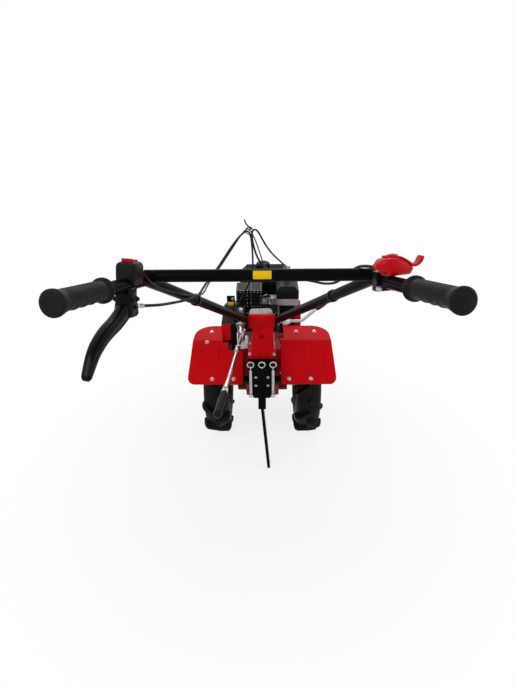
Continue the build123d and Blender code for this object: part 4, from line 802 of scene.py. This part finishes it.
class TRACTOR_OT_throttle(bpy.types.Operator):
    """Thumb throttle: a moulded housing that falls away to the right, and a lever that ends in a raised pad"""

    bl_idname = "tractor.throttle"
    bl_label = "Thumb throttle"

    ahead_of_grip = 0.090
    foot = 0.0128

    def execute(self, context):
        """Rounded sections across the housing and along the lever, with a turned hub and screw on top."""
        place = grip_frame(1) @ Matrix.Translation((-self.ahead_of_grip, 0, 0))
        across = np.array([-0.0222, -0.0218, -0.019, -0.011, 0.003, 0.018, 0.031, 0.034])
        top = np.array([0.034, 0.040, 0.0445, 0.0465, 0.0465, 0.0395, 0.0305, 0.027])
        wide = np.array([0.011, 0.015, 0.0195, 0.0225, 0.0225, 0.0175, 0.012, 0.009])
        ramp = np.stack([0 * across, across, (top + self.foot) / 2], -1)
        housing = ribbon(ramp, RIGHT, wide, (top - self.foot) / 2, 36, 0.55)
        piece("throttle_housing", moved(housing, place), "red_plastic", "handlebar", "throttle_body")
        path = smooth_line([
            (0, -0.016, 0.0470), (0, 0.006, 0.0480), (0.001, 0.021, 0.0405), (0.003, 0.035, 0.0300),
            (0.004, 0.042, 0.0290), (0.005, 0.0495, 0.0370), (0.005, 0.0525, 0.0455)])
        wide = np.interp(np.linspace(0, 1, len(path)), [0, 0.12, 0.3, 0.6, 0.72, 0.9, 0.97, 1],
                         [0.008, 0.0135, 0.0145, 0.0085, 0.0095, 0.0135, 0.0125, 0.009])
        lever = ribbon(path, RIGHT, wide, 0.0026, 24, 0.6)
        hub = lathe([(0, 0.0455), (0.0105, 0.0455), (0.0105, 0.0495), (0.0095, 0.0508), (0, 0.0508)], 28)
        thumb = moved(joined([lever, hub]), place)
        piece("throttle_thumb", thumb, "red_plastic", "handlebar", "throttle_lever")
        screw = lathe([(0, 0.0508), (0.0042, 0.0508), (0.0042, 0.0520), (0.0030, 0.0530), (0, 0.0532)], 16)
        piece("throttle_screw", moved(screw, place), "zinc_steel", "handlebar")
        return {"FINISHED"}


class TRACTOR_OT_clutch(bpy.types.Operator):
    """Clutch lever: a pressed steel lever in an S, hung from a web under the left tube"""

    bl_idname = "tractor.clutch"
    bl_label = "Clutch lever"

    web_ahead = 0.088

    def execute(self, context):
        """Rounded sections down the web and along the lever's middle line, which is slim at its tip."""
        drop = np.array([-0.004, -0.016, -0.028, -0.042, -0.053, -0.0575, -0.0585])
        wide = np.array([0.0165, 0.0165, 0.0165, 0.018, 0.0185, 0.0165, 0.013])
        deep = np.array([0.017, 0.0165, 0.0165, 0.019, 0.021, 0.019, 0.015])
        web = ribbon(np.stack([0 * drop - self.web_ahead, 0 * drop, drop], -1), AHEAD, wide, deep, 32, 0.45)
        self.pressing("clutch_bracket", web)
        spine = [(-100, 0, -40), (-86, 0, -42), (-45, 0, -62), (-2, 0, -73), (34, 0, -92), (54, 0, -116),
                 (66.5, 0, -136)]
        path = smooth_line(np.array(spine) / 1000)
        along = run_along(path)
        share = along / along[-1]
        wide = np.interp(share, [0, 0.2, 0.5, 0.7, 0.88, 0.975, 1],
                         [0.0135, 0.0130, 0.0135, 0.0122, 0.0098, 0.0085, 0.0055])
        tall = np.interp(share, [0, 0.12, 0.30, 0.6, 0.85, 0.97, 1],
                         [0.016, 0.0165, 0.0140, 0.0112, 0.0090, 0.007, 0.004])
        self.pressing("clutch_lever", ribbon(path, AHEAD, wide, tall, 36, 0.75))
        return {"FINISHED"}

    def pressing(self, node_name, shape):
        """A glossy black pressing in the place of a CAD node, given by the left grip's own line."""
        shape = moved(shape, grip_frame(-1))
        piece(node_name + "_pressed", shape, "lever_gloss", "handlebar", node_name, "black_paint")


class TRACTOR_OT_switch(bpy.types.Operator):
    """Stop switch: a box with rounded sides on the left tube, under its rocker"""

    bl_idname = "tractor.switch"
    bl_label = "Stop switch"

    middle_height = 0.0195

    def execute(self, context):
        """A rounded square carried along the tube, drawn in toward both ends."""
        along = np.array([-0.125, -0.1249, -0.1235, -0.121, -0.116, -0.094, -0.089, -0.0865, -0.0851, -0.085])
        inset = np.array([0.0045, 0.003, 0.0012, 0.0004, 0.0, 0.0, 0.0004, 0.0012, 0.003, 0.0045])
        path = np.stack([along, 0 * along, 0 * along + self.middle_height], -1)
        box = moved(ribbon(path, AHEAD, 0.020 - inset, 0.0213 - inset, 40, 0.42), grip_frame(-1))
        piece("stop_switch_moulded", box, "black_plastic", "handlebar", "stop_switch")
        return {"FINISHED"}


class TRACTOR_OT_hitch_pins(bpy.types.Operator):
    """Round hitch pins with ring handles and nuts"""

    bl_idname = "tractor.hitch_pins"
    bl_label = "Hitch pins"

    ahead, foot_z, ring_z = -303.2, 342, 456
    # The rings' radius, half thickness, half width and roundness of section
    ring_size = (0.0102, 0.0021, 0.0021, 1.0)

    def execute(self, context):
        """Two turned pins with nuts, a ring over each, and a third ring on a stub between them."""
        rings = [ring(at(x, self.ahead, self.ring_z), RIGHT, UP, *self.ring_size) for x in (-36, 0, 36)]
        pin = lathe([(0, 0), (0.0046, 0), (0.005, 0.0006), (0.005, 0.103), (0.0038, 0.106), (0, 0.106)], 20)
        nut = lathe([(0, -0.008), (0.0078, -0.008), (0.0078, 0), (0, 0)], 6)
        feet = [at(x, self.ahead, self.foot_z) for x in (-36, 36)]
        pins = [moved(joined([pin, nut]), Matrix.Translation(foot)) for foot in feet]
        stub = tube(line_at((0, -290, 440), (0, self.ahead, 440), (0, self.ahead, 447)), 0.0045, 18)
        piece("hitch_pins_turned", joined([*rings, *pins, stub]), "zinc_steel", "chassis", "hitch_pins")
        return {"FINISHED"}


class TRACTOR_OT_bolts(bpy.types.Operator):
    """Bolt heads with washers on the fenders, column, hitch, guard, wheels and handlebar"""

    bl_idname = "tractor.bolts"
    bl_label = "Bolts"

    def execute(self, context):
        flats = context.scene.tractor_sizes.bolt_flats
        fender = [(-180, -68, 449.5, FLAT), (-192, -130, 443.2, SLOPE), (-167, -258, 373.3, SLOPE),
                  (-94, -258, 373.3, SLOPE), (186, -68, 449.5, FLAT), (122, -68, 449.5, FLAT),
                  (90, -258, 373.3, SLOPE), (163, -258, 373.3, SLOPE)]
        column = [(x, ahead, 458, UP) for x in (-38, 38) for ahead in (-241, -171)]
        guard = [(-108, 57, 522, BACK), (-144, -52, 440, LEFT), (-144, 40, 466, LEFT), (-144, 150, 420, LEFT),
                 (-144, 318, 372, LEFT), (-144, 262, 286, LEFT)]
        bed = [(x, 470, z, BACK) for x in (-20, 20) for z in (170, 220)]
        hitch = [(x, -296, z, BACK) for x in (-20, 20) for z in (372, 404)]
        gearbox = [(62, ahead, z, RIGHT) for ahead, z in ((-150, 330), (-60, 240), (-20, 320), (-120, 420))]
        crossbar = [(x, -769, 956.7, (0, -0.72, 0.69)) for x in (-206, 204)]
        self.bolts("fender_bolts", fender + column, flats, "chassis")
        self.bolts("frame_bolts", guard + bed + gearbox, flats, "chassis")
        self.bolts("hitch_bolts", hitch, 0.65 * flats, "chassis")
        self.bolts("crossbar_bolts", crossbar, 0.9 * flats, "handlebar", "black_paint")
        self.bolts("wheel_bolts", self.wheel_rows(), 1.6 * flats, "wheel_set")
        self.control_bolts(0.85 * flats)
        return {"FINISHED"}

    def bolts(self, name, rows, flats, body, finish="zinc_steel"):
        """Heads at rows of x, place ahead and z in millimetres, and the way each faces."""
        shape = repeated(hex_bolt(flats), aimed([at(*row[:3]) for row in rows], [row[3] for row in rows]))
        piece(name, shape, finish, body, smooth=False)

    def wheel_rows(self):
        """Five on each wheel disc, round the hub."""
        disc, circle, axle_z = 172, 42, 1000 * AXLE.z
        return [(side * disc, circle * math.cos(turn), axle_z + circle * math.sin(turn), (side, 0, 0))
                for side in (-1, 1) for turn in turns(5)]

    def control_bolts(self, flats):
        """On the throttle's clamp and the clutch bracket, placed by the grips' own lines."""
        clamp = [(-0.118, y, -0.0135, RIGHT) for y in (-0.0135, 0.0135)]
        web = ((-0.096, -0.026), (-0.080, -0.026), (-0.088, -0.040))
        bracket = [(x, side * 0.0166, z, (0, side, 0)) for x, z in web for side in (-1, 1)]
        for name, side, rows, finish in (("clamp_bolts", 1, clamp, "zinc_steel"),
                                         ("bracket_bolts", -1, bracket, "heat_black")):
            shape = repeated(hex_bolt(flats), aimed([row[:3] for row in rows], [row[3] for row in rows]))
            piece(name, moved(shape, grip_frame(side)), finish, "handlebar", smooth=False)


class TRACTOR_OT_stickers(bpy.types.Operator):
    """Plain yellow stickers, with nothing on them"""

    bl_idname = "tractor.stickers"
    bl_label = "Stickers"

    half_thick = 0.0002

    def execute(self, context):
        """Thin rounded rectangles, one bent round the crossbar and one flat on the guard."""
        start, end = math.radians(-14), math.radians(64)
        bar = arc(at(6, -760, 948), BACK, UP, TUBE_RADIUS + self.half_thick, start, end, 25)
        tab = [at(-117, 56.8, z) for z in (492, 500, 510)]
        for name, path, half_width, body in (("crossbar_sticker", bar, 0.018, "handlebar"),
                                             ("guard_sticker", tab, 0.0115, "chassis")):
            piece(name, ribbon(path, RIGHT, half_width, self.half_thick, 16, 0.15), "sticker_yellow", body)
        return {"FINISHED"}


class TRACTOR_OT_engine_trim(bpy.types.Operator):
    """Fuel cap, muffler rivets, linkage, fuel hose, tag, the guard's end and the column's strip"""

    bl_idname = "tractor.engine_trim"
    bl_label = "Engine trim"

    cap_radius, cap_scallops, scallop_depth = 0.0288, 24, 0.025
    coil_turns, coil_radius = 11, 0.0045

    def execute(self, context):
        self.cap()
        self.rivets()
        self.linkage()
        self.hose_and_tag()
        self.guard_end()
        self.strip()
        return {"FINISHED"}

    def cap(self):
        """A turned cap whose rim is scalloped: r = R (1 + c cos 24a) below its rounded top."""
        low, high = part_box("fuel_cap")
        place = Matrix.Translation(((low.x + high.x) / 2, (low.y + high.y) / 2, low.z))
        profile = np.array([(0, 0), (0.94, 0), (0.97, 0.04), (0.97, 0.72), (0.93, 0.86), (0.82, 0.95),
                            (0.62, 1.0), (0.58, 0.97), (0.20, 0.97), (0, 0.97)])
        wide, tall = profile[:, 0, None], profile[:, 1, None]
        turn = turns(4 * self.cap_scallops)
        rim = (tall > 0.02) & (tall < 0.9)
        radius = self.cap_radius * (wide + self.scallop_depth * rim * np.cos(self.cap_scallops * turn))
        height = (high.z - low.z) * tall + 0 * turn
        points = np.stack([radius * np.cos(turn), radius * np.sin(turn), height], -1)
        shape = (points.reshape(-1, 3), grid_faces(len(profile), len(turn), wrap=True))
        piece("fuel_cap_scalloped", moved(shape, place), "black_plastic", "chassis", "fuel_cap")

    def rivets(self):
        """Round heads along the edges of both muffler boxes, on the back and on top."""
        box_back, box_top, edges = 110, 530, (-19, 19)
        along = np.linspace(*edges, 4)
        back, top = [], []
        for middle in (-75.5, -23.5):
            back += [at(middle + step, box_back, z) for z in (466, 524) for step in along]
            back += [at(middle + edge, box_back, z) for edge in edges for z in (480, 495, 510)]
            top += [at(middle + step, ahead, box_top) for ahead in (116, 188) for step in along]
            top += [at(middle + edge, ahead, box_top) for edge in edges for ahead in (134, 152, 170)]
        dome = lathe([(0, -0.0002), (0.0018, -0.0002), (0.0016, 0.0006), (0.0009, 0.0011), (0, 0.0013)], 10)
        heads = repeated(dome, aimed(back + top, [BACK] * len(back) + [UP] * len(top)))
        piece("muffler_rivets", heads, "zinc_steel", "chassis")

    def linkage(self):
        """Governor rods between carburettor and muffler, and a coil spring that narrows at its ends."""
        rods = [line_at((36, 152, 466), (34, 138, 490), (24, 128, 508), (8, 124, 507), (-2, 124, 500)),
                line_at((58, 152, 472), (50, 128, 476), (46, 118, 500), (56, 116, 503))]
        start, end = np.array(at(44, 150, 474)), np.array(at(-1, 132, 492))
        share = np.linspace(0, 1, 161)[:, None]
        along = unit(end - start)
        first = unit(np.cross(along, UP))
        second = np.cross(along, first)
        angle = 2 * np.pi * self.coil_turns * share
        wide = self.coil_radius * np.sin(np.pi * share) ** 0.3
        coil = start + share * (end - start) + wide * (first * np.cos(angle) + second * np.sin(angle))
        shape = joined([*(tube(rod, 0.0016, 10) for rod in rods), tube(coil, 0.0009, 8)])
        piece("carburettor_linkage", shape, "bright_steel", "chassis")

    def hose_and_tag(self):
        """A hose from the tank to the carburettor, and a plain green tag that hangs at the rocker cover."""
        hose = line_at((20, 217, 456), (22, 205, 440), (34, 192, 436), (46, 184, 446), (48, 184, 456))
        piece("fuel_hose", tube(hose, 0.004, 14), "cable_sheath", "chassis")
        tag = line_at((31, 83.5, 452), (32, 80, 446), (33, 81, 438), (36, 79, 430))
        piece("green_tag", ribbon(tag, RIGHT, 0.0075, 0.0004, 12, 0.2), "tag_green", "chassis")

    def guard_end(self):
        """The black plate and bar that close the guard's tail, seen from the operator's place."""
        plate = [at(-100, -78.5, z) for z in (372, 376, 384, 396, 440, 478, 486)]
        wide = np.array([0.003, 0.0065, 0.0092, 0.011, 0.011, 0.011, 0.0095])
        bar = [at(x, -72, 413.5) for x in (-150, -135, -120, -104)]
        shapes = [ribbon(plate, RIGHT, wide, 0.0015, 20, 0.25), ribbon(bar, AHEAD, 0.005, 0.0024, 16, 0.25)]
        piece("guard_end", joined(shapes), "black_paint", "chassis")

    def strip(self):
        """A flat zinc strip beside the column."""
        path = line_at((42.4, -200, 452), (41.6, -200, 470), (39.4, -200, 484), (39.4, -200, 514))
        piece("column_strip", ribbon(path, AHEAD, 0.006, 0.0012, 16, 0.25), "zinc_steel", "chassis")


class TRACTOR_OT_studio(bpy.types.Operator):
    """Pale floor, white surround, soft lamps and the camera"""

    bl_idname = "tractor.studio"
    bl_label = "Studio"

    lamp_target = Vector((0, AXLE.y - 0.25, 0.5))
    floor_rings = (0.0, 2.0, 6.0, 14.0)
    floor_grey = (0.93, 0.93, 0.93, 1)
    # The floor's share of white near the machine, and where it starts and ends its way to plain white
    white_near, fade_start, fade_end = 0.82, 0.35, 1.0

    def execute(self, context):
        settings = context.scene.tractor_studio
        self.surround(context.scene, settings)
        self.floor()
        self.lamp("key_lamp", (-1.3, -1.9, 2.7), 1.8, 1.4, settings.key)
        self.lamp("back_lamp", (0.2, 2.6, 2.5), 2.6, 1.2, settings.back)
        self.lamp("fill_lamp", (2.2, -0.9, 1.6), 1.2, 1.6, settings.fill)
        self.camera(context.scene, settings)
        context.scene.view_settings.view_transform = "Standard"
        return {"FINISHED"}

    def surround(self, scene, settings):
        """White to the camera and in reflections, an even light for everything else."""
        world = bpy.data.worlds.new("white_surround")
        scene.world = world
        world.use_nodes = True
        tree = world.node_tree
        background = next(n for n in tree.nodes if n.type == "BACKGROUND")
        background.inputs["Color"].default_value = (1, 1, 1, 1)
        strength = node(tree, "ShaderNodeMapRange", (-200, 0), {"To Min": settings.sky, "To Max": 1.0})
        wire(tree, (self.seen_rays(tree), 0, strength, "Value"), (strength, "Result", background, "Strength"))

    def seen_rays(self, tree):
        """A node that gives one for rays that the camera, a mirror or glass sees, nought for other light."""
        path = node(tree, "ShaderNodeLightPath", (-800, 0))
        first = node(tree, "ShaderNodeMath", (-600, 0), operation="MAXIMUM")
        both = node(tree, "ShaderNodeMath", (-400, 0), operation="MAXIMUM")
        wire(tree, (path, "Is Camera Ray", first, 0), (path, "Is Transmission Ray", first, 1),
             (first, 0, both, 0), (path, "Is Glossy Ray", both, 1))
        return both

    def floor(self):
        """A wide pale disc that fades to white away from the machine."""
        material = bpy.data.materials.new("pale_floor")
        material.use_nodes = True
        tree = material.node_tree
        tree.nodes.clear()
        out = node(tree, "ShaderNodeOutputMaterial", (400, 0))
        matt = node(tree, "ShaderNodeBsdfDiffuse", (-200, 100), {"Color": self.floor_grey})
        white = node(tree, "ShaderNodeEmission", (-200, -100))
        mix = node(tree, "ShaderNodeMixShader", (150, 0))
        place = node(tree, "ShaderNodeTexCoord", (-1000, -300))
        far = node(tree, "ShaderNodeVectorMath", (-800, -300), operation="LENGTH")
        limits = {"From Min": self.fade_start, "From Max": self.fade_end, "To Min": self.white_near}
        fade = node(tree, "ShaderNodeMapRange", (-600, -300), limits, interpolation_type="SMOOTHSTEP")
        seen = node(tree, "ShaderNodeMath", (-300, -300), operation="MULTIPLY")
        wire(tree, (place, "Object", far, 0), (far, "Value", fade, "Value"), (fade, "Result", seen, 0),
             (self.seen_rays(tree), 0, seen, 1), (seen, 0, mix, "Fac"), (matt, 0, mix, 1), (white, 0, mix, 2),
             (mix, 0, out, "Surface"))
        FINISH["pale_floor"] = material
        piece("floor", lathe([(reach, 0) for reach in self.floor_rings], 48), "pale_floor")

    def lamp(self, name, place, width, height, power):
        """A soft rectangle of light that faces the machine."""
        light = bpy.data.lights.new(name, "AREA")
        light.shape = "RECTANGLE"
        light.size = width
        light.size_y = height
        light.energy = power
        obj = bpy.data.objects.new(name, light)
        bpy.context.scene.collection.objects.link(obj)
        obj.location = place
        obj.rotation_euler = (Vector(place) - self.lamp_target).to_track_quat("Z", "Y").to_euler()

    def camera(self, scene, settings):
        """Looks forward and down by pitch, aside by yaw, its picture turned by roll."""
        level, fall = math.cos(settings.pitch), -math.sin(settings.pitch)
        ahead = Vector((math.sin(settings.yaw) * level, math.cos(settings.yaw) * level, fall))
        right = Vector((math.cos(settings.yaw), -math.sin(settings.yaw), 0))
        down = ahead.cross(right)
        cosine, sine = math.cos(settings.roll), math.sin(settings.roll)
        across = right * cosine - down * sine
        up = -(right * sine + down * cosine)
        turn = Matrix((across, up, -ahead)).transposed().to_4x4()
        lens = bpy.data.cameras.new("camera")
        lens.sensor_width = 36.0
        lens.lens = settings.focal_pixels * lens.sensor_width / PHOTO_HEIGHT
        obj = bpy.data.objects.new("camera", lens)
        scene.collection.objects.link(obj)
        obj.matrix_world = Matrix.Translation(settings.eye) @ turn
        scene.camera = obj


class TRACTOR_PT_panel(bpy.types.Panel):
    """Lists the pieces of the look"""

    bl_idname = "TRACTOR_PT_panel"
    bl_label = "Hand tractor"
    bl_space_type = "VIEW_3D"
    bl_region_type = "UI"
    bl_category = "Tractor"

    def draw(self, context):
        for step in STEPS:
            self.layout.operator(step.bl_idname)


STEPS = (
    TRACTOR_OT_finishes, TRACTOR_OT_cables, TRACTOR_OT_grips, TRACTOR_OT_tyres, TRACTOR_OT_fenders,
    TRACTOR_OT_levers, TRACTOR_OT_throttle, TRACTOR_OT_clutch, TRACTOR_OT_switch, TRACTOR_OT_hitch_pins,
    TRACTOR_OT_bolts, TRACTOR_OT_stickers, TRACTOR_OT_engine_trim, TRACTOR_OT_studio,
)
GROUPS = {"tractor_colours": TractorColours, "tractor_sizes": TractorSizes, "tractor_studio": StudioSettings}


def register():
    for name, kind in GROUPS.items():
        bpy.utils.register_class(kind)
        setattr(bpy.types.Scene, name, bpy.props.PointerProperty(type=kind))
    for kind in (*STEPS, TRACTOR_PT_panel):
        bpy.utils.register_class(kind)


def unregister():
    for kind in (TRACTOR_PT_panel, *reversed(STEPS)):
        bpy.utils.unregister_class(kind)
    for name, kind in GROUPS.items():
        delattr(bpy.types.Scene, name)
        bpy.utils.unregister_class(kind)


def main():
    register()
    for step in STEPS:
        area, name = step.bl_idname.split(".")
        getattr(getattr(bpy.ops, area), name)()


if __name__ == "__main__":
    main()
